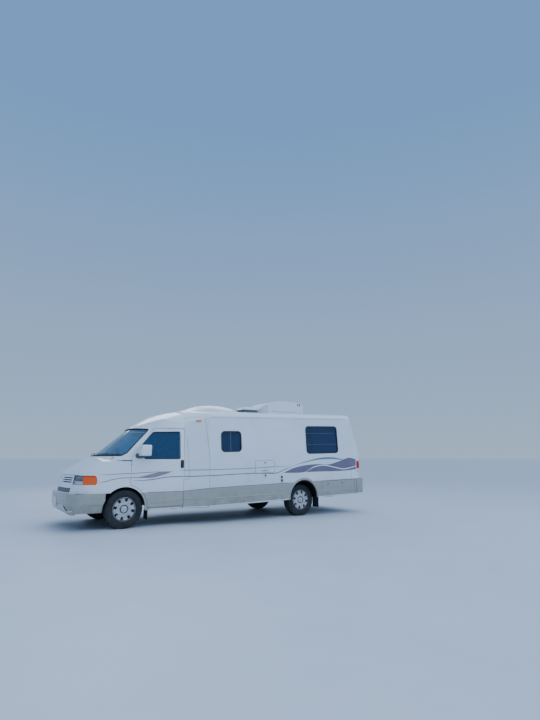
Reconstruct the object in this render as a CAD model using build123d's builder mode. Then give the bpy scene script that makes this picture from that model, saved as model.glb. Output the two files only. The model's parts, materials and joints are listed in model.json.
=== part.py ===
from build123d import *
import math
import os

os.makedirs("parts", exist_ok=True)

# Compact coach-built camper van on a front-engined van cab. Millimetres, +X forward, +Y to the
# vehicle's left, +Z up. The origin is on the ground, under the middle of the overall length.

# Driving dimensions
wheelbase = 3700
front_overhang = 985
rear_overhang = 1690
overall_length = front_overhang + wheelbase + rear_overhang
front_axle = overall_length / 2 - front_overhang
rear_axle = front_axle - wheelbase
far = 5000

# Wheels
tyre_radius = 324
tyre_width = 205
rim_radius = 192
rim_wall = 8
disc_thickness = 12
disc_dish = 26
hub_radius = 58
stub_radius = 22
pin_clearance = 0.3
front_track = 1590
rear_track = 1670
kingpin_y = 700
steering_limit = 33

# Body walls and gaps
cab_wall = 36
coach_wall = 40
panel_gap = 6
glass_thickness = 6
glass_inset = 12

# Heights above the ground
sill_z = 288
door_bottom_z = 338
waist_z = 640
belt_z = 1170
door_top_z = 1722
floor_top_z = 500
floor_thickness = 50
bumper_top_z = 600

# Stations, measured forward from the front axle
nose_u = 925
screen_base_u = 385
screen_top_u = -280
screen_base_z = 1210
screen_top_z = 1764
screen_radius = 1350
door_front_u = -85
door_rear_u = -1057
seam_u = -1505
rear_wall_u = -5285
coach_rise = 1.6


def station(u):
    """World X of a point measured forward from the front axle."""
    return front_axle + u


def span(x, y, z, mode=Mode.ADD):
    """Box between three pairs of limits, in the part being built."""
    with Locations(((x[0] + x[1]) / 2, (y[0] + y[1]) / 2, (z[0] + z[1]) / 2)):
        Box(abs(x[1] - x[0]), abs(y[1] - y[0]), abs(z[1] - z[0]), mode=mode)


def side_region(points, radius=0.0):
    """Solid with a polygon of (u, z) points as its side view, right through the body."""
    with BuildPart() as region:
        with BuildSketch(Plane.XZ):
            with BuildLine():
                Polyline([(station(u), z) for u, z in points], close=True)
            make_face()
            if radius:
                fillet(vertices(), radius)
        extrude(amount=far, both=True)
    return region.part


# Body sections. Columns: half width at the sill, waist, belt and at the top of the side, height
# there, half width and height where the roof begins, and the crown's height at the middle.
coach_row = (1058, 1080, 1068, 1032, 1950, 905, 2056, 2132)
cab_row = (898, 920, 915, 826, 1850, 700, 2040, 2100)


def section_outline(row, inset):
    """Closed outline of the body at one station, drawn inside the outer surface by inset."""
    sill, waist, belt, side, side_z, roof, roof_z, crown = row
    right_side = [
        (sill - inset, sill_z - 500),
        (waist - inset, waist_z),
        (belt - inset, belt_z),
        (side - inset, side_z - inset / 2),
    ]
    shoulder = (roof - inset / 2, roof_z - inset)
    with BuildLine() as outline:
        Polyline(right_side)
        TangentArc(right_side[3], shoulder, tangent=(side - belt, side_z - belt_z))
        ThreePointArc(shoulder, (0, crown - inset), (-shoulder[0], shoulder[1]))
        TangentArc((-right_side[3][0], right_side[3][1]), (-shoulder[0], shoulder[1]),
                   tangent=(belt - side, side_z - belt_z))
        Polyline([(-y, z) for y, z in reversed(right_side)])
        Line((-right_side[0][0], right_side[0][1]), right_side[0])
    return outline.line


def section_plane(u):
    """Vertical plane across the body, its local x to the left and its local y up."""
    return Plane(origin=(station(u), 0, 0), x_dir=(0, 1, 0), z_dir=(1, 0, 0))


rise_direction = (-math.cos(math.radians(coach_rise)), 0, math.sin(math.radians(coach_rise)))


def coach_height(u, z):
    """Height at station u of a coach line that has height z at the seam."""
    return z + (seam_u - u) * math.tan(math.radians(coach_rise))


# Coach hull: one section carried back along the rising line, cut by the rear wall and its corners
rear_lean_z = 1233
rear_top_u = -4985
rear_corner_radius = 90


def coach_hull(inset):
    length = seam_u - rear_wall_u
    with BuildPart() as hull:
        with BuildSketch(section_plane(seam_u)):
            add(section_outline(coach_row, inset))
            make_face()
        extrude(amount=length + 200, dir=rise_direction)
        with BuildSketch(Plane.XZ):
            with BuildLine():
                Polyline(
                    (station(seam_u + 10), -800),
                    (station(seam_u + 10), 2600),
                    (station(rear_top_u + inset), 2600),
                    (station(rear_top_u + inset), 2205 - inset),
                    (station(rear_wall_u + inset + 14), rear_lean_z),
                    (station(rear_wall_u + inset), 900),
                    (station(rear_wall_u + inset), -800),
                    close=True,
                )
            make_face()
        extrude(amount=far, both=True, mode=Mode.INTERSECT)
        with BuildSketch(Plane.XY.offset(-800)):
            with Locations((station((seam_u + rear_wall_u) / 2 + 500), 0)):
                RectangleRounded(length + 1000 - 2 * inset, 2 * (coach_row[1] - inset), rear_corner_radius)
        extrude(amount=far, mode=Mode.INTERSECT)
    return hull.part


# Flare: the sides open out from the cab's section to the coach's
def flare_hull(inset):
    with BuildPart() as hull:
        with BuildSketch(section_plane(door_rear_u)) as front:
            add(section_outline(cab_row, inset))
            make_face()
        with BuildSketch(section_plane(seam_u)) as rear:
            add(section_outline(coach_row, inset))
            make_face()
        loft([front.sketch, rear.sketch], ruled=True)
    return hull.part


# Crowned tops are profiles turned about a long axis below the body
crown_angle = 42


def crowned(outline, axis_z):
    """Turn a closed line of (x, z) points about a lengthways axis at height axis_z."""
    base = Plane(origin=(0, 0, axis_z), x_dir=(1, 0, 0), z_dir=(0, -1, 0)).rotated((-crown_angle, 0, 0))
    with BuildPart() as solid:
        with BuildSketch(base):
            add(outline)
            make_face()
        revolve(axis=Axis((0, 0, axis_z), (1, 0, 0)), revolution_arc=2 * crown_angle)
    return solid.part


# Cap over the cab: a raked profile from the screen's head back to the seam, crowned across
cap_axis_z = -1400
screen_slope = (screen_top_u - screen_base_u, screen_top_z - screen_base_z)


def cap_profile(inset):
    top = -cap_axis_z - inset
    with BuildLine() as outline:
        ahead = (station(screen_base_u + 150), screen_top_z + top)
        lip = (station(screen_top_u), screen_top_z + top)
        rise = (station(-610), 1958 + top)
        back = (station(door_rear_u - 5), 2096 + top)
        Line(ahead, lip)
        ThreePointArc(lip, (station(-440), 1864 + top), rise)
        ThreePointArc(rise, (station(-830), 2042 + top), back)
        Polyline(back, (back[0], -900 - cap_axis_z), (ahead[0], -900 - cap_axis_z), ahead)
    return outline.line


def screen_bow(half):
    """Setback of the bowed screen at a half width."""
    return screen_radius - math.sqrt(screen_radius ** 2 - half ** 2)


def screen_half_space(inset):
    """Everything behind the bowed, raked windscreen."""
    front = station(screen_base_u - inset * 1.5)
    edge = 1100
    bow = screen_bow(edge)
    reach = 1.6
    base = Plane.XY.offset(screen_base_z - reach * screen_slope[1])
    foot = front - reach * screen_slope[0]
    with BuildPart() as space:
        with BuildSketch(base):
            with BuildLine():
                ThreePointArc((foot - bow, -edge), (foot, 0), (foot - bow, edge))
                Polyline((foot - bow, edge), (foot - far, edge), (foot - far, -edge), (foot - bow, -edge))
            make_face()
        extrude(amount=far, dir=Vector(screen_slope[0], 0, screen_slope[1]).normalized())
    return space.part


def cabin_hull(inset):
    with BuildPart() as hull:
        with BuildSketch(section_plane(door_rear_u)):
            add(section_outline(cab_row, inset))
            make_face()
        extrude(amount=far, dir=(1, 0, 0))
        add(screen_half_space(inset), mode=Mode.INTERSECT)
        add(crowned(cap_profile(inset), cap_axis_z), mode=Mode.INTERSECT)
    return hull.part


# Nose: hood profile crowned across, inside the bowed front
hood_axis_z = -3280
nose_bow_radius = 2280
nose_corner_y = 640
nose_lean = 0.2
cowl_z = 1224


def nose_profile(inset):
    top = -hood_axis_z - inset
    with BuildLine() as outline:
        lip = (station(nose_u + 60), 850 + top)
        brow = (station(868), 908 + top)
        crest = (station(745), 1006 + top)
        shoulder = (station(440), 1200 + top)
        cowl = (station(screen_base_u - 40), cowl_z + top)
        Line(lip, brow)
        ThreePointArc(brow, (station(809), 960 + top), crest)
        Line(crest, shoulder)
        ThreePointArc(shoulder, (station(398), 1218 + top), cowl)
        Polyline(cowl, (station(-1300), cowl_z + top), (station(-1300), -900 - hood_axis_z),
                 (lip[0], -900 - hood_axis_z), lip)
    return outline.line


def nose_plan(base_z, inset, grow=0.0):
    """Plan outline of the nose: a wide bow, tight corners and straight sides."""
    half = cab_row[1] - inset + grow
    corner = nose_corner_y - inset / 2 + grow / 2
    front = station(nose_u - inset + grow)
    setback = corner ** 2 / (2 * nose_bow_radius)
    shift = nose_lean * (base_z - waist_z)
    side_start = station(430)
    with BuildLine(Plane.XY.offset(base_z)) as outline:
        ThreePointArc((front - setback - shift, -corner), (front - shift, 0), (front - setback - shift, corner))
        ThreePointArc(
            (front - setback - shift, corner),
            (station(690) + (grow - inset) * 0.7 - shift, half - 105),
            (side_start - shift, half - 8),
        )
        Polyline((side_start - shift, half - 8), (station(150) - shift, half), (station(-1300) - shift, half),
                 (station(-1300) - shift, -half), (station(150) - shift, -half), (side_start - shift, -half + 8))
        ThreePointArc(
            (side_start - shift, -half + 8),
            (station(690) + (grow - inset) * 0.7 - shift, -half + 105),
            (front - setback - shift, -corner),
        )
    return outline.line


def nose_hull(inset):
    with BuildPart() as hull:
        with BuildSketch(section_plane(door_rear_u)):
            add(section_outline(cab_row, inset))
            make_face()
        extrude(amount=far, dir=(1, 0, 0))
        with BuildSketch(Plane.XY.offset(-800)):
            add(nose_plan(-800, inset))
            make_face()
        extrude(amount=far, dir=Vector(-nose_lean, 0, 1).normalized(), mode=Mode.INTERSECT)
        add(crowned(nose_profile(inset), hood_axis_z), mode=Mode.INTERSECT)
    return hull.part


nose_shell_outer = nose_hull(0)
nose_shell_inner = nose_hull(cab_wall)
cabin_outer = cabin_hull(0)
cabin_inner = cabin_hull(cab_wall)
flare_outer = flare_hull(0)
flare_inner = flare_hull(cab_wall)
coach_outer = coach_hull(0)
coach_inner = coach_hull(coach_wall)


def wall(outer, inner):
    with BuildPart() as skin:
        add(outer)
        add(inner, mode=Mode.SUBTRACT)
    return skin.part


nose_wall = wall(nose_shell_outer, nose_shell_inner)
cabin_wall = wall(cabin_outer, cabin_inner)
flare_wall = wall(flare_outer, flare_inner)
coach_skin = wall(coach_outer, coach_inner)

# Wheel arches. Columns: station, centre height and radius of the opening
front_arch = (10, 330, 366)
rear_arch = (-3690, 385, 350)
arch_flange = 34


def arch_cut(arch, grow=0.0):
    """Round-topped opening of a wheel arch, right across the body and open below."""
    u, z, radius = arch
    with BuildPart() as cut:
        with BuildSketch(Plane.XZ):
            with Locations((station(u), z)):
                Circle(radius + grow)
            with Locations((station(u), z - 200)):
                Rectangle(2 * (radius + grow), 400)
        extrude(amount=far, both=True)
    return cut.part


front_arch_cut = arch_cut(front_arch)
front_arch_flange = arch_cut(front_arch, arch_flange)
door_arch_cut = arch_cut(front_arch, arch_flange + panel_gap)
rear_arch_cut = arch_cut(rear_arch)

# Hood outline in plan: straight sides over the wings and a bowed rear edge ahead of the screen
hood_front_half = 690
hood_rear_half = 782
hood_hinge_u = 200
hood_hinge_z = 1166
hood_edge_z = 902
cowl_depth = 66


def hood_outline(grow):
    rear = station(screen_base_u + cowl_depth - grow)
    half = hood_rear_half + grow
    bow = screen_bow(half)
    with BuildPart() as outline:
        with BuildSketch(Plane.XY.offset(hood_edge_z - grow)):
            with BuildLine():
                ThreePointArc((rear - bow, -half), (rear, 0), (rear - bow, half))
                Polyline(
                    (rear - bow, half),
                    (station(nose_u), hood_front_half + grow),
                    (station(nose_u) + 200, hood_front_half + grow),
                    (station(nose_u) + 200, -hood_front_half - grow),
                    (station(nose_u), -hood_front_half - grow),
                    (rear - bow, -half),
                )
            make_face()
        extrude(amount=far)
    return outline.part


hood_cut = hood_outline(panel_gap)

# Side view of the cab door, and of its window with rounded corners
door_points = [
    (door_rear_u, door_bottom_z),
    (door_front_u, door_bottom_z),
    (door_front_u, 1212),
    (-452, 1674),
    (-520, door_top_z),
    (door_rear_u, door_top_z),
]
door_window_points = [(-968, 1182), (-312, 1182), (-247, 1388), (-462, 1640), (-968, 1660)]


def door_region(grow):
    """Side view of the cab door, larger by grow all round, less the wheel arch."""
    with BuildPart() as region:
        with BuildSketch(Plane.XZ):
            with BuildLine():
                Polyline([(station(u), z) for u, z in door_points], close=True)
            make_face()
            if grow:
                offset(amount=grow, kind=Kind.INTERSECTION)
        extrude(amount=far, both=True)
        add(door_arch_cut if not grow else front_arch_flange, mode=Mode.SUBTRACT)
    return region.part


door_body_region = door_region(0)
door_opening_region = door_region(panel_gap)
door_window_region = side_region(door_window_points, 18)


def keep_side(sign, inner=300):
    """Half of the vehicle on one side: +1 is the left."""
    with BuildPart() as half:
        span((-far, far), (sign * inner, sign * far), (-far, far))
    return half.part


left_half = keep_side(1)
right_half = keep_side(-1)
sides = (("left", left_half, 1), ("right", right_half, -1))


def finish(piece, node):
    """Name a finished piece and write it."""
    piece.part.label = node
    export_step(piece.part, f"parts/{node}.step")


# Hinges with an axis across the vehicle: fixed barrels and pins, and moving knuckles beside them
hinge_radius = 6
hinge_pin = 3.2
hinge_half = 14


def cross_barrels(x, z, places, radius, length, mode=Mode.ADD):
    """Cylinders along Y at the given places."""
    for y in places:
        with Locations(Location((x, y, z), (90, 0, 0))):
            Cylinder(radius, length, mode=mode)


def cross_knuckles(x, z, places, arm_x=None, arm_z=None):
    """Moving knuckles on both sides of each fixed barrel, with arms to the given limits."""
    centres = [y + d * (1.5 * hinge_half + pin_clearance) for y in places for d in (1, -1)]
    with BuildPart() as knuckles:
        cross_barrels(x, z, centres, hinge_radius, hinge_half)
        if arm_x:
            for y in centres:
                span(arm_x, (y - hinge_half / 2, y + hinge_half / 2), arm_z)
        cross_barrels(x, z, places, hinge_pin + pin_clearance, 6 * hinge_half, Mode.SUBTRACT)
    return knuckles.part


def cross_notches(x, z, places):
    """Clearance round each fixed barrel and its pin."""
    with BuildPart() as notches:
        cross_barrels(x, z, places, hinge_radius + 1, 2 * hinge_half + 2 * pin_clearance)
        cross_barrels(x, z, places, hinge_pin + pin_clearance, 4 * hinge_half + 4 * pin_clearance)
    return notches.part


def cross_fixed(x, z, places, arm_x, arm_z):
    """Fixed barrels along Y, each with its pin and an arm to the given limits."""
    with BuildPart() as hinges:
        cross_barrels(x, z, places, hinge_radius, 2 * hinge_half)
        cross_barrels(x, z, places, hinge_pin, 4 * hinge_half)
        for y in places:
            span(arm_x, (y - hinge_half, y + hinge_half), arm_z)
    return hinges.part


# Hood, on two hinges at the cowl
hood_hinge_x = station(hood_hinge_u)
hood_hinge_y = (-700, 700)
hood_arm = 84
hood_arm_rise = 42
hood_region = hood_outline(0)
with BuildPart() as hood:
    add(nose_wall)
    add(hood_region, mode=Mode.INTERSECT)
    add(cross_knuckles(hood_hinge_x, hood_hinge_z, hood_hinge_y, (hood_hinge_x, hood_hinge_x + hood_arm),
                       (hood_hinge_z - hinge_radius, hood_hinge_z)))
finish(hood, "hood")


# Front panel below the hood, carried round to the wings, with lamp and grille openings
panel_end_u = 524
lamp_bottom_z = 741
lamp_top_z = 896
lamp_depth = 60
headlamp_inner_y = 600
lamp_split_u = 686
grille_half = 560
slot_heights = (784, 819, 854)
slot_height = 19
grille_boss_radius = 64
grille_boss_rim = 12
grille_boss_z = 820
slot_start = 82
intake_half = 585
intake_z = (612, 688)
intake_bars = 5
intake_bar = 6
lamp_region = side_region(
    [(nose_u + 100, lamp_bottom_z), (506, lamp_bottom_z), (484, 762), (480, 812), (490, 868), (520, lamp_top_z),
     (nose_u + 100, lamp_top_z)]
)
ahead = (station(0), station(nose_u + 200))

# Bare round boss between the two rows of slots: a raised rim round a sunk face
boss_place = Location((station(nose_u), 0, grille_boss_z), (0, 90, 0))
with BuildPart() as boss_face:
    add(wall(nose_hull(-9), nose_hull(-2)))
    with Locations(boss_place):
        Cylinder(grille_boss_radius - grille_boss_rim, 300, mode=Mode.INTERSECT)

with BuildPart() as grille_boss:
    add(wall(nose_hull(-8), nose_hull(12)))
    with Locations(boss_place):
        Cylinder(grille_boss_radius, 300, mode=Mode.INTERSECT)
    add(boss_face.part, mode=Mode.SUBTRACT)

with BuildPart() as front_panel:
    add(nose_wall)
    span((station(panel_end_u), ahead[1]), (-far, far), (bumper_top_z, lamp_top_z), mode=Mode.INTERSECT)
    for sign in (1, -1):
        span(ahead, (sign * headlamp_inner_y, sign * far), (lamp_bottom_z, far), mode=Mode.SUBTRACT)
        for z in slot_heights:
            span(ahead, (sign * slot_start, sign * grille_half), (z - slot_height / 2, z + slot_height / 2),
                 mode=Mode.SUBTRACT)
    span(ahead, (-intake_half, intake_half), intake_z, mode=Mode.SUBTRACT)
    add(grille_boss.part)
finish(front_panel, "front_panel")

# Lower intake: upright and level bars across the opening
with BuildPart() as intake_grille:
    add(wall(nose_hull(10), nose_hull(20)))
    span(ahead, (-intake_half, intake_half), intake_z, mode=Mode.INTERSECT)
    pitch_z = (intake_z[1] - intake_z[0] - intake_bar) / (intake_bars - 1)
    for i in range(intake_bars - 1):
        bottom = intake_z[0] + intake_bar + i * pitch_z
        with Locations((station(nose_u), 0, bottom + (pitch_z - intake_bar) / 2)):
            with GridLocations(1, (2 * intake_half - 10) / 13, 1, 13):
                Box(400, (2 * intake_half - 10) / 13 - intake_bar, pitch_z - intake_bar, mode=Mode.SUBTRACT)
finish(intake_grille, "intake_grille")

# Lamps in the nose: a clear unit beside the grille and an amber one round the corner
lamp_wall = wall(nose_hull(2), nose_hull(lamp_depth))
with BuildPart() as headlamps:
    add(lamp_wall)
    add(lamp_region, mode=Mode.INTERSECT)
    span((station(lamp_split_u), ahead[1]), (-far, far), (0, far), mode=Mode.INTERSECT)
    span(ahead, (-headlamp_inner_y, headlamp_inner_y), (0, far), mode=Mode.SUBTRACT)
finish(headlamps, "headlamps")

with BuildPart() as turn_lamps:
    add(lamp_wall)
    add(lamp_region, mode=Mode.INTERSECT)
    span((station(0), station(lamp_split_u)), (-far, far), (0, far), mode=Mode.INTERSECT)
    span(ahead, (-headlamp_inner_y, headlamp_inner_y), (0, far), mode=Mode.SUBTRACT)
finish(turn_lamps, "turn_lamps")

# Cowl: the sunk tray between the hood and the screen
cowl_drop = 50
cowl_thickness = 30
cowl_half = hood_rear_half + panel_gap


def cowl_space(grow):
    rear = station(screen_base_u + cowl_depth - panel_gap)
    half = cowl_half + grow
    bow = screen_bow(half)
    with BuildPart() as space:
        with BuildSketch(Plane.XY.offset(900)):
            with BuildLine():
                ThreePointArc((rear - bow, -half), (rear, 0), (rear - bow, half))
                Polyline((rear - bow, half), (station(-40), half), (station(-40), -half), (rear - bow, -half))
            make_face()
        extrude(amount=far)
    return space.part


cowl_region = cowl_space(0)

# Wings: round the wheel arch, up to the hood and back to the door
cab_hinge_z = (800, 1100)
cab_hinge_u = door_front_u + panel_gap / 2
cab_hinge_y = cab_row[1] - 1
pocket = 15
leaf_depth = 20

# Hinges with an upright axis: fixed barrel and pin on the body, knuckles on the door
def door_knuckles(u, y, heights, sign):
    """Moving halves of the hinges, above and below each fixed barrel."""
    with BuildPart() as knuckles:
        for z in heights:
            with Locations((station(u), sign * y, z + 1.5 * hinge_half + pin_clearance),
                           (station(u), sign * y, z - 1.5 * hinge_half - pin_clearance)):
                Cylinder(hinge_radius, hinge_half)
            span((station(u) - leaf_depth, station(u)), (sign * (y - leaf_depth), sign * y),
                 (z + hinge_half + pin_clearance, z + 2 * hinge_half + pin_clearance))
            span((station(u) - leaf_depth, station(u)), (sign * (y - leaf_depth), sign * y),
                 (z - 2 * hinge_half - pin_clearance, z - hinge_half - pin_clearance))
            with Locations((station(u), sign * y, z)):
                Cylinder(hinge_pin + pin_clearance, 6 * hinge_half, mode=Mode.SUBTRACT)
    return knuckles.part


def hinge_notches(u, y, heights, sign):
    """Clearance in the door round each fixed barrel and its pin."""
    with BuildPart() as notches:
        for z in heights:
            with Locations((station(u), sign * y, z)):
                Cylinder(hinge_radius + 1, 2 * hinge_half + 2 * pin_clearance)
                Cylinder(hinge_pin + pin_clearance, 4 * hinge_half + 4 * pin_clearance)
    return notches.part


def fixed_hinges(u, y, heights, sign, arm):
    """Fixed halves: a barrel, its pin and an arm running arm deep into the body, ahead of the axis."""
    with BuildPart() as hinges:
        for z in heights:
            with Locations((station(u), sign * y, z)):
                Cylinder(hinge_radius, 2 * hinge_half)
                Cylinder(hinge_pin, 4 * hinge_half)
            span((station(u), station(u) + 2 * hinge_radius), (sign * (y - arm), sign * (y + hinge_radius / 2)),
                 (z - hinge_half, z + hinge_half))
    return hinges.part


with BuildPart() as wing_zone:
    span((station(door_front_u + panel_gap), ahead[1]), (-far, far), (bumper_top_z, far))
    add(front_arch_flange)
    span((-far, ahead[1]), (-far, far), (sill_z, far), mode=Mode.INTERSECT)
    span((station(front_arch[0]), ahead[1]), (-far, far), (0, bumper_top_z), mode=Mode.SUBTRACT)

for side, half, sign in sides:
    with BuildPart() as wing:
        add(nose_wall)
        add(half, mode=Mode.INTERSECT)
        add(wing_zone.part, mode=Mode.INTERSECT)
        add(hood_cut, mode=Mode.SUBTRACT)
        add(cowl_region, mode=Mode.SUBTRACT)
        add(lamp_region, mode=Mode.SUBTRACT)
        span((station(panel_end_u), ahead[1]), (-far, far), (0, lamp_top_z), mode=Mode.SUBTRACT)
        add(front_arch_cut, mode=Mode.SUBTRACT)
        for z in cab_hinge_z:
            span((station(cab_hinge_u), station(cab_hinge_u) + pocket), (sign * 800, sign * far),
                 (z - 2.5 * hinge_half, z + 2.5 * hinge_half), mode=Mode.SUBTRACT)
    finish(wing, f"wing_{side}")

# Windscreen: the opening is a rounded trapezoid seen from ahead
screen_front_half = 872
screen_head_half = 724
screen_foot_z = 1216
screen_head_z = 1736
screen_corner = 50


def screen_outline(grow):
    with BuildPart() as opening:
        with BuildSketch(section_plane(-900)):
            with BuildLine():
                foot = screen_front_half + grow
                head = screen_head_half + grow
                Polyline((-head, screen_head_z - 34), (-foot, screen_foot_z - grow),
                         (foot, screen_foot_z - grow), (head, screen_head_z - 34))
                ThreePointArc((-head, screen_head_z - 34), (0, screen_head_z + grow), (head, screen_head_z - 34))
            make_face()
            fillet(vertices(), screen_corner)
        extrude(amount=1900)
    return opening.part


screen_opening = screen_outline(0)
with BuildPart() as windshield:
    add(screen_half_space(glass_inset))
    add(screen_half_space(glass_inset + glass_thickness), mode=Mode.SUBTRACT)
    add(screen_opening, mode=Mode.INTERSECT)
finish(windshield, "windshield")

# Cab shell: screen frame, cowl tray, firewall, door posts, sills and the hoop behind the doors
header_z = door_top_z + panel_gap + 14
post_depth = 30
firewall_u = (60, 96)
hoop_depth = 45
liner_radius = 396
liner_wall = 6
liner_inner_y = 494
liner_half_y = 852
sill_depth = 110
# Jacking pad under each sill: its place, and its length, width and height
jack_u = -900
jack_y = 850
jack_pad = (90, 50, 8)

with BuildPart() as cap_side_zone:
    span((station(seam_u), station(door_rear_u) - panel_gap), (-far, far), (sill_z, far))

with BuildPart() as post_ring:
    add(nose_shell_inner)
    add(nose_hull(cab_wall + post_depth), mode=Mode.SUBTRACT)
    span((station(-75), station(firewall_u[1])), (-far, far), (sill_z + 20, screen_base_z - 60),
         mode=Mode.INTERSECT)

with BuildPart() as hoop:
    add(flare_inner)
    add(flare_hull(cab_wall + hoop_depth), mode=Mode.SUBTRACT)
    span((station(door_rear_u - panel_gap - hoop_depth), station(door_rear_u - panel_gap)), (-far, far),
         (sill_z, far), mode=Mode.INTERSECT)

with BuildPart() as cowl_tray:
    add(nose_hull(cowl_drop))
    add(nose_hull(cowl_drop + cowl_thickness), mode=Mode.SUBTRACT)
    add(cowl_region, mode=Mode.INTERSECT)
    span((station(-40), ahead[1]), (-cowl_half, cowl_half), (1000, far), mode=Mode.INTERSECT)

with BuildPart() as front_liner_space:
    for sign in (1, -1):
        with BuildSketch(Plane.XZ.offset(-sign * liner_inner_y)):
            with Locations((station(0), tyre_radius)):
                Circle(liner_radius + liner_wall)
        extrude(amount=-sign * (far - liner_inner_y))

with BuildPart() as wing_skin:
    add(nose_wall)
    add(cowl_region, mode=Mode.SUBTRACT)

with BuildPart() as header_rail:
    add(cabin_outer)
    add(cabin_hull(cab_wall + post_depth), mode=Mode.SUBTRACT)
    add(flare_outer)
    add(flare_hull(cab_wall + post_depth), mode=Mode.SUBTRACT)
    span((station(door_rear_u - panel_gap), ahead[1]), (-far, far), (door_top_z + panel_gap, header_z),
         mode=Mode.INTERSECT)
    add(cap_side_zone.part, mode=Mode.SUBTRACT)

with BuildPart() as cab_shell:
    add(cabin_wall)
    span((station(door_rear_u), ahead[1]), (-far, far), (screen_base_z - 60, header_z), mode=Mode.INTERSECT)
    add(hood_cut, mode=Mode.SUBTRACT)
    add(door_opening_region, mode=Mode.SUBTRACT)
    add(header_rail.part)
    add(screen_opening, mode=Mode.SUBTRACT)
    add(wing_skin.part, mode=Mode.SUBTRACT)
    add(cowl_tray.part)
    add(post_ring.part)
    span((station(firewall_u[0]), station(firewall_u[1])), (-780, 780), (floor_top_z - floor_thickness, 1100))
    add(front_liner_space.part, mode=Mode.SUBTRACT)
    add(hoop.part)
    for sign in (1, -1):
        add(fixed_hinges(cab_hinge_u, cab_hinge_y, cab_hinge_z, sign, 56))
        span((station(door_rear_u), station(door_front_u - 300)), (sign * (cab_row[1] - sill_depth), sign * 899),
             (sill_z, door_bottom_z - panel_gap))
        span((station(door_rear_u - panel_gap - hoop_depth), station(door_rear_u)),
             (sign * (cab_row[1] - sill_depth), sign * (cab_row[0] - cab_wall)), (sill_z, door_bottom_z - panel_gap))
        span((station(jack_u - jack_pad[0] / 2), station(jack_u + jack_pad[0] / 2)),
             (sign * (jack_y - jack_pad[1] / 2), sign * (jack_y + jack_pad[1] / 2)), (sill_z - jack_pad[2], sill_z + 1))
    add(door_arch_cut, mode=Mode.SUBTRACT)
    for y in hood_hinge_y:
        span((hood_hinge_x - pocket, hood_hinge_x + hood_arm), (y - 2.5 * hinge_half, y + 2.5 * hinge_half),
             (hood_hinge_z - pocket, hood_hinge_z + hood_arm_rise), mode=Mode.SUBTRACT)
    add(cross_fixed(hood_hinge_x, hood_hinge_z, hood_hinge_y,
                    (hood_hinge_x - hinge_radius, hood_hinge_x + hinge_radius),
                    (hood_hinge_z - cowl_drop - cowl_thickness / 2, hood_hinge_z)))
finish(cab_shell, "cab_shell")

# Cab doors: the whole thickness of the side, with the mirrors fixed to them
cabin_glass_wall = wall(cabin_hull(glass_inset), cabin_hull(glass_inset + glass_thickness))
mirror_u = (-345, -175)
mirror_y = (950, 1155)
mirror_z = (1222, 1412)

for side, half, sign in sides:
    with BuildPart() as mirror:
        span((station(mirror_u[0]), station(mirror_u[1])), (sign * mirror_y[0], sign * mirror_y[1]), mirror_z)
        fillet(mirror.edges().filter_by(Axis.X), 34)
        fillet(mirror.faces().sort_by(Axis.X)[-1].edges(), 22)
    with BuildPart() as door:
        add(cabin_wall)
        add(door_body_region, mode=Mode.INTERSECT)
        add(half, mode=Mode.INTERSECT)
        add(door_window_region, mode=Mode.SUBTRACT)
        add(hinge_notches(cab_hinge_u, cab_hinge_y, cab_hinge_z, sign), mode=Mode.SUBTRACT)
        add(door_knuckles(cab_hinge_u, cab_hinge_y, cab_hinge_z, sign))
        span((station(mirror_u[0] + 72), station(mirror_u[1] - 10)), (sign * 885, sign * (mirror_y[0] + 20)),
             (mirror_z[0] + 8, mirror_z[0] + 58))
        add(mirror.part)
    finish(door, f"cab_door_{side}")
    with BuildPart() as glass:
        add(cabin_glass_wall)
        add(door_window_region, mode=Mode.INTERSECT)
        add(half, mode=Mode.INTERSECT)
    finish(glass, f"cab_glass_{side}")

# Hump on the roof: a crowned fairing that rises from the cap and runs out on the coach roof
hump_axis_z = 465
hump_angle = 30
hump_wall = 30


def hump(inset):
    top = -hump_axis_z - inset
    base = Plane(origin=(0, 0, hump_axis_z), x_dir=(1, 0, 0), z_dir=(0, -1, 0)).rotated((-hump_angle, 0, 0))
    with BuildPart() as fairing:
        with BuildSketch(base):
            with BuildLine():
                foot = (station(-1040) - inset, 2085 + top)
                step = (station(-1400) - inset / 2, 2168 + top)
                peak = (station(-1950), 2281 + top)
                tail = (station(-2660) + inset, 2095 + top)
                Line(foot, step)
                ThreePointArc(step, (station(-1600), 2240 + top), peak)
                ThreePointArc(peak, (station(-2330), 2236 + top), tail)
                Polyline(tail, (tail[0], 1200), (foot[0], 1200), foot)
            make_face()
        revolve(axis=Axis((0, 0, hump_axis_z), (1, 0, 0)), revolution_arc=2 * hump_angle)
    return fairing.part


hump_outer = hump(0)
hump_inner = hump(hump_wall)

# Cap over the cab with the flared sides behind the doors
with BuildPart() as cap_zone:
    span((station(seam_u), far), (-far, far), (header_z, far))
    span((station(seam_u), station(door_rear_u) - panel_gap), (-far, far), (sill_z, far))

with BuildPart() as front_cap:
    add(cabin_outer)
    add(flare_outer)
    add(hump_outer)
    add(cap_zone.part, mode=Mode.INTERSECT)
    add(cabin_inner, mode=Mode.SUBTRACT)
    add(flare_inner, mode=Mode.SUBTRACT)
    add(hump_inner, mode=Mode.SUBTRACT)
finish(front_cap, "front_cap")

# Coach panels. Lines that rise with the coach are drawn in its own axes
boundary_z = 637
gutter_z = 1948
rocker_z = 297
rear_strip = 118


def rising_region(u_front, u_rear, z_low, z_high):
    """Side view band between two stations and two coach lines given by their heights at the seam."""
    return side_region([
        (u_front, coach_height(u_front, z_low)),
        (u_rear, coach_height(u_rear, z_low)),
        (u_rear, coach_height(u_rear, z_high)),
        (u_front, coach_height(u_front, z_high)),
    ])


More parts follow.
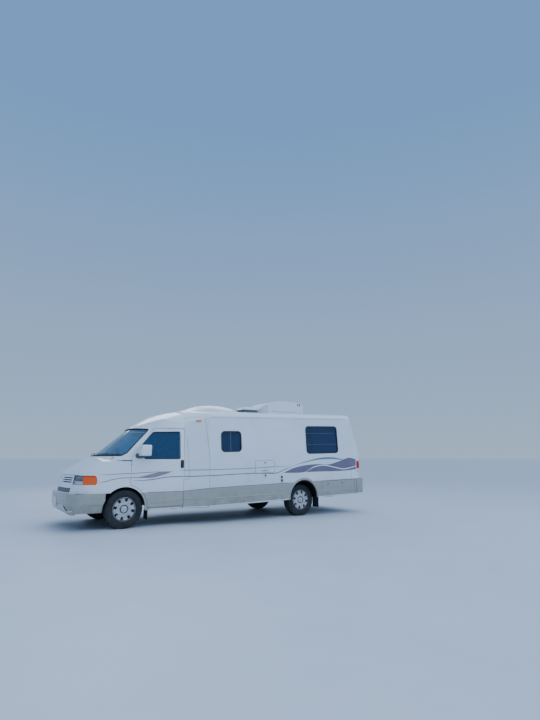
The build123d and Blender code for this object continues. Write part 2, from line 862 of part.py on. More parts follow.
def window_region(u, z, length, height, radius, grow=0.0):
    """Rounded window through the coach sides, square to the coach's own lines."""
    with BuildPart() as region:
        with BuildSketch(Plane.XZ):
            with Locations(Location((station(u), z, 0), (0, 0, -coach_rise))):
                RectangleRounded(length + 2 * grow, height + 2 * grow, radius + grow)
        extrude(amount=far, both=True)
    return region.part


def rear_region(half_width, z_low, z_high, radius, grow=0.0):
    """Rounded opening through the rear wall."""
    with BuildPart() as region:
        with BuildSketch(section_plane(rear_wall_u - 300)):
            with Locations((0, (z_low + z_high) / 2)):
                RectangleRounded(2 * (half_width + grow), z_high - z_low + 2 * grow, radius + grow)
        extrude(amount=600)
    return region.part


roof_zone = rising_region(seam_u, rear_wall_u - 200, gutter_z, 3000)
wall_zone = rising_region(seam_u, rear_wall_u - 200, boundary_z, gutter_z)
skirt_zone = rising_region(seam_u, rear_wall_u - 200, rocker_z, boundary_z)
rear_zone = side_region([
    (rear_wall_u - 200, 0),
    (rear_wall_u + rear_strip, 0),
    (rear_wall_u + rear_strip, rear_lean_z - 20),
    (rear_top_u + rear_strip - 4, 2400),
    (rear_wall_u - 200, 2400),
])

# Windows of the coach sides. Columns: side, station and height of the middle, length, height
side_windows = (
    (1, -1965, 1502, 450, 405),
    (1, -4205, 1578, 880, 593),
    (-1, -2950, 1530, 760, 405),
    (-1, -4205, 1578, 880, 593),
)
window_corner = 80
frame_width = 20
frame_proud = 4
frame_depth = 30
rear_window = (560, 1330, 1850)

# Entry door on the right, behind the seam
entry_u = (-2150, -1560)
entry_z = (330, 1890)
entry_window = (-1855, 1490, 330, 520)
entry_hinge_u = entry_u[1] + panel_gap / 2
entry_hinge_y = coach_row[1] - 1
entry_hinge_z = (560, 1040)
entry_step_y = -820
entry_region = side_region([(entry_u[0], entry_z[0]), (entry_u[1], entry_z[0]), (entry_u[1], entry_z[1]),
                            (entry_u[0], entry_z[1])])
entry_opening = side_region([
    (entry_u[0] - panel_gap, entry_z[0] - panel_gap), (entry_u[1] + panel_gap, entry_z[0] - panel_gap),
    (entry_u[1] + panel_gap, entry_z[1] + panel_gap), (entry_u[0] - panel_gap, entry_z[1] + panel_gap),
])

# Trunk lid in the rear wall, hinged along its top
trunk_half = 600
trunk_z = (coach_height(rear_wall_u, boundary_z) + 22, 1206)
lamp_z = (882, 1124)
lamp_inner_y = 985
lamp_u = rear_wall_u + rear_strip

with BuildPart() as tail_zone:
    for sign in (1, -1):
        span((station(rear_wall_u - 100), station(lamp_u)), (sign * lamp_inner_y, sign * 1200), lamp_z)

arch_band = 42
rear_band = arch_cut(rear_arch, arch_band)

with BuildPart() as coach_side:
    add(coach_skin)
    add(wall_zone, mode=Mode.INTERSECT)
    add(rear_zone, mode=Mode.SUBTRACT)
    add(rear_band, mode=Mode.SUBTRACT)
    add(tail_zone.part, mode=Mode.SUBTRACT)

for side, half, sign in sides:
    with BuildPart() as coach_wall_part:
        add(coach_side.part)
        add(half, mode=Mode.INTERSECT)
        for window_side, u, z, length, height in side_windows:
            if window_side == sign:
                add(window_region(u, z, length, height, window_corner), mode=Mode.SUBTRACT)
        if sign < 0:
            add(entry_opening, mode=Mode.SUBTRACT)
            span((station(entry_hinge_u), station(entry_hinge_u) + pocket), (-1000, -far),
                 (entry_hinge_z[0] - 2.5 * hinge_half, entry_hinge_z[1] + 2.5 * hinge_half), mode=Mode.SUBTRACT)
    finish(coach_wall_part, f"coach_wall_{side}")

# Rear wall with its window and the trunk opening
trunk_region = rear_region(trunk_half, trunk_z[0], trunk_z[1], 24)
trunk_opening = rear_region(trunk_half, trunk_z[0], trunk_z[1], 24, panel_gap)
rear_glass_region = rear_region(rear_window[0], rear_window[1], rear_window[2], 60)
trunk_hinge_z = trunk_z[1] + panel_gap / 2
trunk_hinge_y = (-380, 380)
trunk_hinge_x = station(rear_wall_u) + 14 * (trunk_hinge_z - 900) / (rear_lean_z - 900) + 1


with BuildPart() as coach_wall_rear:
    add(coach_skin)
    add(rear_zone, mode=Mode.INTERSECT)
    add(rising_region(seam_u, rear_wall_u - 300, boundary_z, gutter_z), mode=Mode.INTERSECT)
    add(tail_zone.part, mode=Mode.SUBTRACT)
    add(trunk_opening, mode=Mode.SUBTRACT)
    add(rear_glass_region, mode=Mode.SUBTRACT)
    for y in trunk_hinge_y:
        span((trunk_hinge_x - 40, trunk_hinge_x + 30), (y - 2.5 * hinge_half, y + 2.5 * hinge_half),
             (trunk_hinge_z - 5, trunk_hinge_z + pocket), mode=Mode.SUBTRACT)
    add(cross_fixed(trunk_hinge_x, trunk_hinge_z, trunk_hinge_y,
                    (trunk_hinge_x - hinge_radius, trunk_hinge_x + 34), (trunk_hinge_z, trunk_hinge_z + pocket + 2)))
finish(coach_wall_rear, "coach_wall_rear")

with BuildPart() as trunk_lid:
    add(coach_skin)
    add(trunk_region, mode=Mode.INTERSECT)
    span((station(rear_wall_u) - 200, station(rear_wall_u) + 200), (-far, far), (0, far), mode=Mode.INTERSECT)
    add(cross_notches(trunk_hinge_x, trunk_hinge_z, trunk_hinge_y), mode=Mode.SUBTRACT)
    add(cross_knuckles(trunk_hinge_x, trunk_hinge_z, trunk_hinge_y))
finish(trunk_lid, "trunk_lid")

# Coach roof with the tail of the hump and the vent opening
vent_u = (-3060, -2710)
vent_half = 200
vent_wall = 24
vent_top_z = 2232
vent_dome = 62
roof_vent_x = (station(vent_u[0]), station(vent_u[1]))
with BuildPart() as coach_roof:
    add(coach_outer)
    add(hump_outer)
    add(roof_zone, mode=Mode.INTERSECT)
    span((-far, station(seam_u)), (-far, far), (0, far), mode=Mode.INTERSECT)
    add(coach_inner, mode=Mode.SUBTRACT)
    add(hump_inner, mode=Mode.SUBTRACT)
    span((roof_vent_x[0] + vent_wall, roof_vent_x[1] - vent_wall), (vent_wall - vent_half, vent_half - vent_wall),
         (1900, far), mode=Mode.SUBTRACT)
finish(coach_roof, "coach_roof")

# Skirts along the coach, with the arch bands, and the locker behind the rear wheel on the left
locker_u = (-5085, -4160)
locker_low = rocker_z + 26
locker_high = boundary_z - 16
bumper_u = -5160
skirt_wall = 36
skirt_hull_inner = coach_hull(skirt_wall)


def skirt_band():
    with BuildPart() as band:
        add(skirt_zone)
        add(rear_band)
        span((station(bumper_u), station(seam_u)), (-far, far), (coach_height(seam_u, rocker_z), far),
             mode=Mode.INTERSECT)
        add(rising_region(seam_u, rear_wall_u, 0, rocker_z), mode=Mode.SUBTRACT)
        add(rear_arch_cut, mode=Mode.SUBTRACT)
    return band.part


skirt_region = skirt_band()
locker_region = rising_region(locker_u[1], locker_u[0], locker_low, locker_high)
locker_opening = rising_region(locker_u[1] + panel_gap, locker_u[0] - panel_gap, locker_low - panel_gap,
                               locker_high + panel_gap)
locker_hinge_z = locker_low - panel_gap / 2
locker_hinge_y = 1071
locker_hinge_u = (-4900, -4340)


def rising_barrels(places, radius, length, mode=Mode.ADD):
    """Cylinders along the coach's rising line at the locker's hinge."""
    for u in places:
        with Locations(Location((station(u), locker_hinge_y, coach_height(u, locker_hinge_z)),
                                (0, 90 + coach_rise, 0))):
            Cylinder(radius, length, mode=mode)


with BuildPart() as locker_knuckles:
    rising_barrels([u + d * (1.5 * hinge_half + pin_clearance) for u in locker_hinge_u for d in (1, -1)],
                   hinge_radius, hinge_half)
    rising_barrels(locker_hinge_u, hinge_pin + pin_clearance, 6 * hinge_half, Mode.SUBTRACT)

with BuildPart() as locker_notches:
    rising_barrels(locker_hinge_u, hinge_radius + 1, 2 * hinge_half + 2 * pin_clearance)
    rising_barrels(locker_hinge_u, hinge_pin + pin_clearance, 4 * hinge_half + 4 * pin_clearance)

for side, half, sign in sides:
    with BuildPart() as skirt:
        add(coach_outer)
        add(skirt_hull_inner, mode=Mode.SUBTRACT)
        add(skirt_region, mode=Mode.INTERSECT)
        add(half, mode=Mode.INTERSECT)
        if sign > 0:
            add(locker_opening, mode=Mode.SUBTRACT)
            for u in locker_hinge_u:
                z = coach_height(u, locker_hinge_z)
                span((station(u) - 2.5 * hinge_half, station(u) + 2.5 * hinge_half), (1000, far),
                     (z - pocket, z + 3), mode=Mode.SUBTRACT)
            rising_barrels(locker_hinge_u, hinge_radius, 2 * hinge_half)
            rising_barrels(locker_hinge_u, hinge_pin, 4 * hinge_half)
            for u in locker_hinge_u:
                z = coach_height(u, locker_hinge_z)
                span((station(u) - hinge_half, station(u) + hinge_half),
                     (locker_hinge_y - skirt_wall, locker_hinge_y + hinge_radius / 2), (z - pocket - 3, z))
        else:
            add(entry_opening, mode=Mode.SUBTRACT)
            span((station(entry_hinge_u), station(entry_hinge_u) + pocket), (-1000, -far),
                 (entry_hinge_z[0] - 2.5 * hinge_half, entry_hinge_z[0] + 2.5 * hinge_half), mode=Mode.SUBTRACT)
    finish(skirt, f"skirt_{side}")

with BuildPart() as locker_door:
    add(coach_outer)
    add(skirt_hull_inner, mode=Mode.SUBTRACT)
    add(locker_region, mode=Mode.INTERSECT)
    add(left_half, mode=Mode.INTERSECT)
    add(locker_notches.part, mode=Mode.SUBTRACT)
    add(locker_knuckles.part)
finish(locker_door, "locker_door")

# Entry door and its window
entry_window_region = window_region(entry_window[0], entry_window[1], entry_window[2], entry_window[3],
                                    window_corner)
with BuildPart() as entry_door:
    add(coach_skin)
    add(entry_region, mode=Mode.INTERSECT)
    add(right_half, mode=Mode.INTERSECT)
    add(entry_window_region, mode=Mode.SUBTRACT)
    add(hinge_notches(entry_hinge_u, entry_hinge_y, entry_hinge_z, -1), mode=Mode.SUBTRACT)
    add(door_knuckles(entry_hinge_u, entry_hinge_y, entry_hinge_z, -1))
finish(entry_door, "entry_door")

# Glass of the coach and its frames
coach_glass_wall = wall(coach_hull(glass_inset), coach_hull(glass_inset + glass_thickness))
frame_wall = wall(coach_hull(-frame_proud), coach_hull(frame_depth))
with BuildPart() as entry_glass:
    add(coach_glass_wall)
    add(entry_window_region, mode=Mode.INTERSECT)
    add(right_half, mode=Mode.INTERSECT)
finish(entry_glass, "entry_glass")


def window_holes(grow):
    """All fixed window openings of the coach, smaller by grow all round."""
    with BuildPart() as holes:
        for window_side, u, z, length, height in side_windows:
            with BuildSketch(Plane.XZ):
                with Locations(Location((station(u), z, 0), (0, 0, -coach_rise))):
                    RectangleRounded(length - 2 * grow, height - 2 * grow, window_corner - grow)
            extrude(amount=-window_side * far)
        add(rear_region(rear_window[0], rear_window[1], rear_window[2], 60, -grow))
    return holes.part


glass_holes = window_holes(frame_width)
with BuildPart() as window_frames:
    add(frame_wall)
    add(window_holes(0), mode=Mode.INTERSECT)
    add(glass_holes, mode=Mode.SUBTRACT)
finish(window_frames, "window_frames")

with BuildPart() as coach_glass:
    add(coach_glass_wall)
    add(glass_holes, mode=Mode.INTERSECT)
finish(coach_glass, "coach_glass")

# Front bumper: bowed in plan, with a fuller upper band and a tucked-in lower one
bumper_front_u = front_overhang - 6
bumper_bow_radius = 4450
bumper_corner_y = 690
bumper_half = 944
bumper_crease_z = 426
bumper_low_z = 268
bumper_wall = 30
bumper_rear_u = 340
screw_radius = 3.5
screw_pitch = 178
screw_z = 505
# Duct recess in each lower corner, seen from ahead: y and z of its corners
duct_points = [(548, 412), (850, 412), (850, 330), (700, 322), (610, 342), (566, 380)]
duct_depth = 16


def bumper_plan(inset):
    setback = bumper_corner_y ** 2 / (2 * bumper_bow_radius)
    front = station(bumper_front_u) - inset
    half = bumper_half - inset
    corner = bumper_corner_y - inset / 2
    with BuildLine(Plane.XY.offset(200)) as outline:
        ThreePointArc((front - setback, -corner), (front, 0), (front - setback, corner))
        ThreePointArc((front - setback, corner), (station(815) - inset * 0.7, half - 74), (station(640), half - 8))
        Polyline((station(640), half - 8), (station(430), half), (station(0), half), (station(0), -half),
                 (station(430), -half), (station(640), -half + 8))
        ThreePointArc((station(640), -half + 8), (station(815) - inset * 0.7, -half + 74),
                      (front - setback, -corner))
    return outline.line


def bumper_hull(inset):
    front = station(bumper_front_u) - inset
    half = bumper_half - inset
    # Columns: height, setback of the surface from its fullest line
    profile = ((100, 190), (bumper_low_z, 118), (340, 70), (bumper_crease_z - 4, 34), (bumper_crease_z, 7),
               (490, 0), (560, 8), (bumper_top_z, 22), (900, 90))
    with BuildPart() as hull:
        with BuildSketch(Plane.XY.offset(200)):
            add(bumper_plan(inset))
            make_face()
        extrude(amount=500)
        with BuildSketch(Plane.XZ):
            with BuildLine():
                Polyline([(front - back, z) for z, back in profile] + [(station(-100), 900), (station(-100), 100)],
                         close=True)
            make_face()
        extrude(amount=far, both=True, mode=Mode.INTERSECT)
        with BuildSketch(section_plane(0)):
            with BuildLine():
                side_line = [(half - back * 0.6, z) for z, back in profile]
                Polyline(side_line + [(-y, z) for y, z in reversed(side_line)], close=True)
            make_face()
        extrude(amount=2000, mode=Mode.INTERSECT)
    return hull.part


with BuildPart() as duct_zone:
    for sign in (1, -1):
        with BuildSketch(Plane.YZ.offset(station(640))):
            with BuildLine():
                Polyline([(sign * y, z) for y, z in duct_points], close=True)
            make_face()
            fillet(vertices(), 12)
        extrude(amount=500)

with BuildPart() as duct_recess:
    add(bumper_hull(-1))
    add(bumper_hull(duct_depth), mode=Mode.SUBTRACT)
    add(duct_zone.part, mode=Mode.INTERSECT)

with BuildPart() as front_bumper:
    add(bumper_hull(0))
    add(bumper_hull(bumper_wall), mode=Mode.SUBTRACT)
    span((station(bumper_rear_u), ahead[1]), (-far, far), (bumper_low_z, bumper_top_z), mode=Mode.INTERSECT)
    with BuildSketch(Plane.XY.offset(bumper_top_z - 24)):
        add(bumper_plan(6))
        make_face()
    extrude(amount=24)
    span((station(bumper_rear_u - panel_gap), station(nose_u - 130)), (-880, 880), (bumper_low_z, bumper_top_z),
         mode=Mode.SUBTRACT)
    add(front_arch_cut, mode=Mode.SUBTRACT)
    span((station(-100), station(bumper_rear_u)), (-far, far), (0, far), mode=Mode.SUBTRACT)
    add(duct_recess.part, mode=Mode.SUBTRACT)
    for sign in (1, -1):
        with Locations(Location((station(bumper_front_u), sign * screw_pitch / 2, screw_z), (0, 90, 0))):
            Cylinder(screw_radius, 120, mode=Mode.SUBTRACT)
finish(front_bumper, "front_bumper")

# Rear bumper, wrapped round the corners
rear_bumper_u = -wheelbase - rear_overhang
rear_bumper_z = (coach_height(rear_wall_u, rocker_z) + 22, coach_height(rear_wall_u, boundary_z))
rear_bumper_half = 1086
rear_bumper_bow = 22


def rear_bumper_hull(inset):
    rear = station(rear_bumper_u) + inset
    half = rear_bumper_half - inset
    corner = half - 62
    with BuildPart() as hull:
        with BuildSketch(Plane.XY.offset(rear_bumper_z[0])):
            with BuildLine():
                ThreePointArc((rear + rear_bumper_bow, -corner), (rear, 0), (rear + rear_bumper_bow, corner))
                Line((rear + rear_bumper_bow, corner), (rear + rear_bumper_bow + 20, corner + 40))
                Line((rear + rear_bumper_bow + 20, corner + 40), (rear + rear_bumper_bow + 110, half))
                Polyline((rear + rear_bumper_bow + 110, half), (station(bumper_u + 200), half),
                         (station(bumper_u + 200), -half), (rear + rear_bumper_bow + 110, -half))
                Line((rear + rear_bumper_bow + 110, -half), (rear + rear_bumper_bow + 20, -corner - 40))
                Line((rear + rear_bumper_bow + 20, -corner - 40), (rear + rear_bumper_bow, -corner))
            make_face()
        extrude(amount=rear_bumper_z[1] - rear_bumper_z[0])
    return hull.part


rear_bumper_space = rear_bumper_hull(bumper_wall)
with BuildPart() as rear_bumper_cavity:
    add(rear_bumper_space)
    span((-far, far), (-far, far), (0, rear_bumper_z[1] - 34), mode=Mode.INTERSECT)

with BuildPart() as rear_bumper:
    add(rear_bumper_hull(0))
    add(rear_bumper_cavity.part, mode=Mode.SUBTRACT)
    span((station(rear_wall_u + 60), far), (60 - coach_row[1], coach_row[1] - 60), (0, far), mode=Mode.SUBTRACT)
    span((station(bumper_u), far), (-far, far), (0, far), mode=Mode.SUBTRACT)
    add(rising_region(bumper_u, rear_bumper_u - 100, 0, boundary_z), mode=Mode.INTERSECT)
finish(rear_bumper, "rear_bumper")

# Wheels: a rim barrel with a dished, pierced disc and a hub bored for its stub axle. The profile is
# (distance outward from the tyre's middle plane, radius), turned about the axle.
wheel_holes = 8
wheel_hole_radius = 13
wheel_hole_circle = 152
barrel_half = 95
tyre_shoulder = 34
hub_inner = -46
hub_face = 62
cap_depth = 10


def axle_plane(u, y, sign):
    """Plane through the axle whose local x runs outward along it and local y is the radius upward."""
    return Plane(origin=(station(u), sign * y, tyre_radius), x_dir=(0, sign, 0), z_dir=(sign, 0, 0))


def axle_axis(u, y, sign):
    return Axis((station(u), sign * y, tyre_radius), (0, sign, 0))


def make_tyre(u, y, sign):
    half = tyre_width / 2
    with BuildPart() as tyre:
        with BuildSketch(axle_plane(u, y, sign)):
            with BuildLine():
                Line((-barrel_half + 6, rim_radius), (barrel_half - 6, rim_radius))
                ThreePointArc((barrel_half - 6, rim_radius), (half, 246), (half - 12, tyre_radius - 20))
                ThreePointArc((half - 12, tyre_radius - 20), (half - 20, tyre_radius - 7),
                              (half - tyre_shoulder, tyre_radius))
                Line((half - tyre_shoulder, tyre_radius), (tyre_shoulder - half, tyre_radius))
                ThreePointArc((tyre_shoulder - half, tyre_radius), (20 - half, tyre_radius - 7),
                              (12 - half, tyre_radius - 20))
                ThreePointArc((12 - half, tyre_radius - 20), (-half, 246), (6 - barrel_half, rim_radius))
            make_face()
        revolve(axis=axle_axis(u, y, sign))
    return tyre


def make_wheel(u, y, sign):
    bore = stub_radius + pin_clearance
    with BuildPart() as wheel:
        with BuildSketch(axle_plane(u, y, sign)):
            with BuildLine():
                Polyline(
                    (-barrel_half, rim_radius), (-barrel_half, rim_radius - rim_wall),
                    (52, rim_radius - rim_wall), (52 + 6, 120), (52 - disc_dish + 6, hub_radius + 14),
                    (52 - disc_dish, hub_radius), (hub_inner, hub_radius), (hub_inner, bore), (hub_face, bore),
                    (hub_face, 0), (hub_face + cap_depth, 0), (hub_face + cap_depth, 26),
                    (hub_face, 34), (hub_face, hub_radius), (52 - disc_dish + 24, hub_radius + 18),
                    (52 + 22, 124), (52 + 14, rim_radius - rim_wall - 10), (barrel_half, rim_radius - rim_wall),
                    (barrel_half, rim_radius), close=True)
            make_face()
        revolve(axis=axle_axis(u, y, sign))
        hole_plane = Plane(origin=(station(u), sign * y, tyre_radius), x_dir=(1, 0, 0), z_dir=(0, sign, 0))
        with BuildSketch(hole_plane):
            with PolarLocations(wheel_hole_circle, wheel_holes):
                Circle(wheel_hole_radius)
        extrude(amount=barrel_half + 20, mode=Mode.SUBTRACT)
    return wheel


wheel_stations = (("front", 0, front_track / 2), ("rear", -wheelbase, rear_track / 2))
for place, u, y in wheel_stations:
    for side, half, sign in sides:
        finish(make_tyre(u, y, sign), f"tyre_{place}_{side}")
        finish(make_wheel(u, y, sign), f"wheel_{place}_{side}")

# Chassis: two rails under the floor, with cross-members out to the sills
rail_y = (370, 430)
rail_z = (floor_top_z - floor_thickness - 80, floor_top_z - floor_thickness)
rail_u = (-5200, 850)
cross_u = (830, -700, -1420, -2300, -3010, -4380, -5170)
cross_depth = 50
outrigger_u = (-1420, -2300, -3010, -4380)
outrigger_half = 985
tow_bolt_u = (-5100, -5000)
tow_bolt_radius = 6.5
with BuildPart() as chassis_frame:
    for sign in (1, -1):
        span((station(rail_u[0]), station(rail_u[1])), (sign * rail_y[0], sign * rail_y[1]), rail_z)
    for u in cross_u:
        span((station(u), station(u) + cross_depth), (-rail_y[1], rail_y[1]), (rail_z[0] + 10, rail_z[1]))
    for u in outrigger_u:
        span((station(u), station(u) + cross_depth), (-outrigger_half, outrigger_half),
             (rail_z[0] + 40, rail_z[1]))
    for u in tow_bolt_u:
        with Locations(Location((station(u), 0, (rail_z[0] + rail_z[1]) / 2), (90, 0, 0))):
            Cylinder(tow_bolt_radius, 2 * rail_y[1] + 40, mode=Mode.SUBTRACT)
finish(chassis_frame, "chassis_frame")

# Front suspension: a beam under the engine with a lower and an upper arm to each kingpin
arm_half = 38
lower_arm_z = (225, 255)
upper_arm_z = (404, 430)
kingpin_radius = 12
boss_radius = 32
beam_half = 60
with BuildPart() as front_suspension:
    span((station(-beam_half), station(beam_half)), (-rail_y[1], rail_y[1]), lower_arm_z)
    for sign in (1, -1):
        span((station(-beam_half), station(beam_half)), (sign * rail_y[0], sign * rail_y[1]),
             (lower_arm_z[0], rail_z[0]))
        for low, high in (lower_arm_z, upper_arm_z):
            with BuildSketch(Plane.XY.offset(low)):
                with BuildLine():
                    Polyline((station(-beam_half), sign * rail_y[1]), (station(beam_half), sign * rail_y[1]),
                             (station(boss_radius - 6), sign * kingpin_y),
                             (station(6 - boss_radius), sign * kingpin_y), close=True)
                make_face()
                with Locations((station(0), sign * kingpin_y)):
                    Circle(boss_radius)
            extrude(amount=high - low)
        with Locations((station(0), sign * kingpin_y, tyre_radius)):
            Cylinder(kingpin_radius + pin_clearance, 400, mode=Mode.SUBTRACT)
finish(front_suspension, "front_suspension")

# Steering knuckles: an upright post on the kingpin with the stub axle
post_radius = 27
for side, half, sign in sides:
    with BuildPart() as knuckle:
        post_low = lower_arm_z[1] + pin_clearance
        post_high = upper_arm_z[0] - pin_clearance
        with Locations((station(0), sign * kingpin_y, (post_low + post_high) / 2)):
            Cylinder(post_radius, post_high - post_low)
        with Locations((station(0), sign * kingpin_y, (lower_arm_z[0] + upper_arm_z[1]) / 2)):
            Cylinder(kingpin_radius, upper_arm_z[1] - lower_arm_z[0])
        with BuildSketch(Plane.XZ.offset(-sign * kingpin_y)):
            with Locations((station(0), tyre_radius)):
                Circle(stub_radius)
        extrude(amount=-sign * (front_track / 2 + hub_face - pin_clearance - kingpin_y))
    finish(knuckle, f"knuckle_{side}")

# Rear suspension: a tube under the rails, a trailing arm each side and its stub axle
trail_pivot_u = -3210
trail_y = (600, 660)
tube_radius = 34
tube_z = rail_z[0] - tube_radius
with BuildPart() as rear_suspension:
    with BuildSketch(Plane.XZ.offset(-trail_y[1])):
        with Locations((station(trail_pivot_u), tube_z)):
            Circle(tube_radius)
    extrude(amount=2 * trail_y[1])
    for sign in (1, -1):
        with BuildSketch(Plane.XZ.offset(-sign * trail_y[0])):
            with BuildLine():
                Polyline((station(trail_pivot_u), tube_z + 30), (station(-wheelbase), tyre_radius + 40),
                         (station(-wheelbase - 50), tyre_radius), (station(-wheelbase), tyre_radius - 40),
                         (station(trail_pivot_u), tube_z - 30), close=True)
            make_face()
        extrude(amount=-sign * (trail_y[1] - trail_y[0]))
        with BuildSketch(Plane.XZ.offset(-sign * trail_y[0])):
            with Locations((station(-wheelbase), tyre_radius)):
                Circle(stub_radius)
        extrude(amount=-sign * (rear_track / 2 + hub_face - pin_clearance - trail_y[0]))
finish(rear_suspension, "rear_suspension")

# Engine, radiator, tanks and exhaust
engine_u = (230, 700)
engine_y = (-rail_y[0], 300)
engine_z = (lower_arm_z[1] + 5, 860)
with BuildPart() as engine_block:
    span((station(engine_u[0]), station(engine_u[1])), engine_y, engine_z)
    chamfer(engine_block.edges().filter_by(Axis.Y), 40)
finish(engine_block, "engine_block")

radiator_u = (752, 790)
with BuildPart() as radiator:
    span((station(radiator_u[0]), station(radiator_u[1])), (-330, 330), (rail_z[1], 850))
    span((station(radiator_u[0]), station(radiator_u[1])), (-rail_y[0], rail_y[0]), (rail_z[1] - 20, rail_z[1] + 20))
finish(radiator, "radiator")

tank_z = (floor_top_z - floor_thickness - 150, floor_top_z - floor_thickness)
# Columns: station from, station to, y from, y to
tanks = ((-2240, -1500, 440, 940), (-2960, -2400, -940, -440), (-5100, -4460, -340, 340))
with BuildPart() as tanks_node:
    for u0, u1, y0, y1 in tanks:
        span((station(u1), station(u0)), (y0, y1), tank_z)
    fillet(tanks_node.edges().filter_by(Axis.Y), 30)
finish(tanks_node, "underfloor_tanks")

exhaust_y = -300
exhaust_z = rail_z[0] - 26
exhaust_radius = 26
muffler_radius = 85
muffler_u = (-2150, -1600)
with BuildPart() as exhaust:
    with BuildSketch(section_plane(-2700)):
        with Locations((exhaust_y, exhaust_z + 10)):
            Circle(exhaust_radius)
    extrude(amount=2800)
    with BuildSketch(section_plane(muffler_u[0])):
        with Locations((exhaust_y + 60, exhaust_z - 10)):
            Ellipse(110, 62)
    extrude(amount=muffler_u[1] - muffler_u[0])
finish(exhaust, "exhaust")

# Floor, cut round the wheels, and a liner over each wheel
rear_liner_radius = 386
rear_liner_inner_y = 690
arm_gap = 75
liner_bottom = tyre_radius + 30


def liner_drum(u, inner_y, radius, sign):
    """Solid half drum over a wheel, open outward, from its inner face to beyond the side."""
    with BuildPart() as drum:
        with BuildSketch(Plane.XZ.offset(-sign * inner_y)):
            with Locations((station(u), tyre_radius)):
                Circle(radius)
        extrude(amount=-sign * 900)
        span((-far, far), (-far, far), (liner_bottom, far), mode=Mode.INTERSECT)
    return drum.part


with BuildPart() as cabin_space:
    add(flare_inner)
    add(coach_inner)
    add(cabin_inner)
    add(cab_shell.part, mode=Mode.SUBTRACT)

with BuildPart() as liner_blocks:
    for sign in (1, -1):
        add(liner_drum(0, liner_inner_y, liner_radius + liner_wall, sign))
        add(liner_drum(-wheelbase, rear_liner_inner_y, rear_liner_radius + liner_wall, sign))

with BuildPart() as floor_pan:
    add(cabin_space.part)
    span((-far, station(firewall_u[0])), (-far, far), (floor_top_z - floor_thickness, floor_top_z),
         mode=Mode.INTERSECT)
    add(liner_blocks.part, mode=Mode.SUBTRACT)
    span((station(entry_u[0]), station(entry_u[1])), (entry_step_y, -far), (0, far), mode=Mode.SUBTRACT)
finish(floor_pan, "floor_pan")

with BuildPart() as liner_hollows:
    for sign in (1, -1):
        add(liner_drum(0, liner_inner_y + liner_wall, liner_radius, sign))
        add(liner_drum(-wheelbase, rear_liner_inner_y + liner_wall, rear_liner_radius, sign))

with BuildPart() as wheel_liners:
    add(liner_blocks.part)
    add(liner_hollows.part, mode=Mode.SUBTRACT)
    for sign in (1, -1):
        span((station(-500), station(500)), (sign * liner_half_y, sign * far), (0, far), mode=Mode.SUBTRACT)
        span((station(-wheelbase - 500), station(-wheelbase + 500)), (sign * 1030, sign * far), (0, far),
             mode=Mode.SUBTRACT)
        span((station(-arm_gap), station(arm_gap)), (sign * liner_inner_y, sign * (liner_inner_y + liner_wall)),
             (0, upper_arm_z[1] + 15), mode=Mode.SUBTRACT)
finish(wheel_liners, "wheel_liners")

# Cab interior: dashboard with its column, steering wheel and two seats
dash_half = 840
column_y = 400
column_tilt = 32
wheel_centre = (-505, 985)
wheel_rim_radius = 190
wheel_rim_tube = 14
shaft_radius = 18
with BuildPart() as dashboard:
    with BuildSketch(Plane.XZ.offset(-dash_half)):
        with BuildLine():
            Polyline((station(firewall_u[0]), 880), (station(firewall_u[0]), 1085), (station(-60), 1100),
                     (station(-270), 1060), (station(-330), 1000), (station(-290), 860), (station(-120), 820),
                     (station(-20), 880), close=True)
        make_face()
    extrude(amount=2 * dash_half)
    column_dir = Vector(math.cos(math.radians(column_tilt)), 0, -math.sin(math.radians(column_tilt)))
    with BuildSketch(Plane(origin=(station(wheel_centre[0]), column_y, wheel_centre[1]) + column_dir * 40,
                           z_dir=column_dir)):
        Circle(34)
    extrude(amount=260)
    with BuildSketch(Plane(origin=(station(wheel_centre[0]), column_y, wheel_centre[1]), z_dir=column_dir)):
        Circle(shaft_radius + pin_clearance)
    extrude(amount=120, mode=Mode.SUBTRACT)
    add(cab_shell.part, mode=Mode.SUBTRACT)
finish(dashboard, "dashboard")

wheel_plane = Plane(origin=(station(wheel_centre[0]), column_y, wheel_centre[1]), x_dir=(0, 1, 0),
                    z_dir=column_dir)
with BuildPart() as steering_wheel:
    with BuildSketch(Plane(origin=wheel_plane.origin, x_dir=(0, 1, 0), z_dir=wheel_plane.y_dir)):
        with Locations((wheel_rim_radius, 0)):
            Circle(wheel_rim_tube)
    revolve(axis=Axis(wheel_plane.origin, column_dir))
    with BuildSketch(wheel_plane.offset(-12)):
        Circle(62)
    extrude(amount=34)
    with BuildSketch(wheel_plane.offset(-5)):
        with PolarLocations(wheel_rim_radius / 2, 3, start_angle=90):
            Rectangle(wheel_rim_radius, 34)
    extrude(amount=12)
    with BuildSketch(wheel_plane):
        Circle(shaft_radius)
    extrude(amount=110)
finish(steering_wheel, "steering_wheel")

seat_y = 430
seat_half = 250
seat_base_z = (floor_top_z, 750)
seat_profile = ((-640, 750.3), (-620, 826), (-680, 876), (-1000, 856), (-1110, 1496), (-1140, 1606),
                (-1200, 1611), (-1210, 1496), (-1130, 856), (-1090, 750.3))
with BuildPart() as seat_bases:
    for sign in (1, -1):
        span((station(-1060), station(-690)), (sign * (seat_y - 190), sign * (seat_y + 190)), seat_base_z)
finish(seat_bases, "seat_bases")
with BuildPart() as seats:
    for sign in (1, -1):
        with BuildSketch(Plane.XZ.offset(-sign * (seat_y - seat_half))):
            with BuildLine():
                Polyline([(station(u), z) for u, z in seat_profile], close=True)
            make_face()
        extrude(amount=-sign * 2 * seat_half)
finish(seats, "seats")

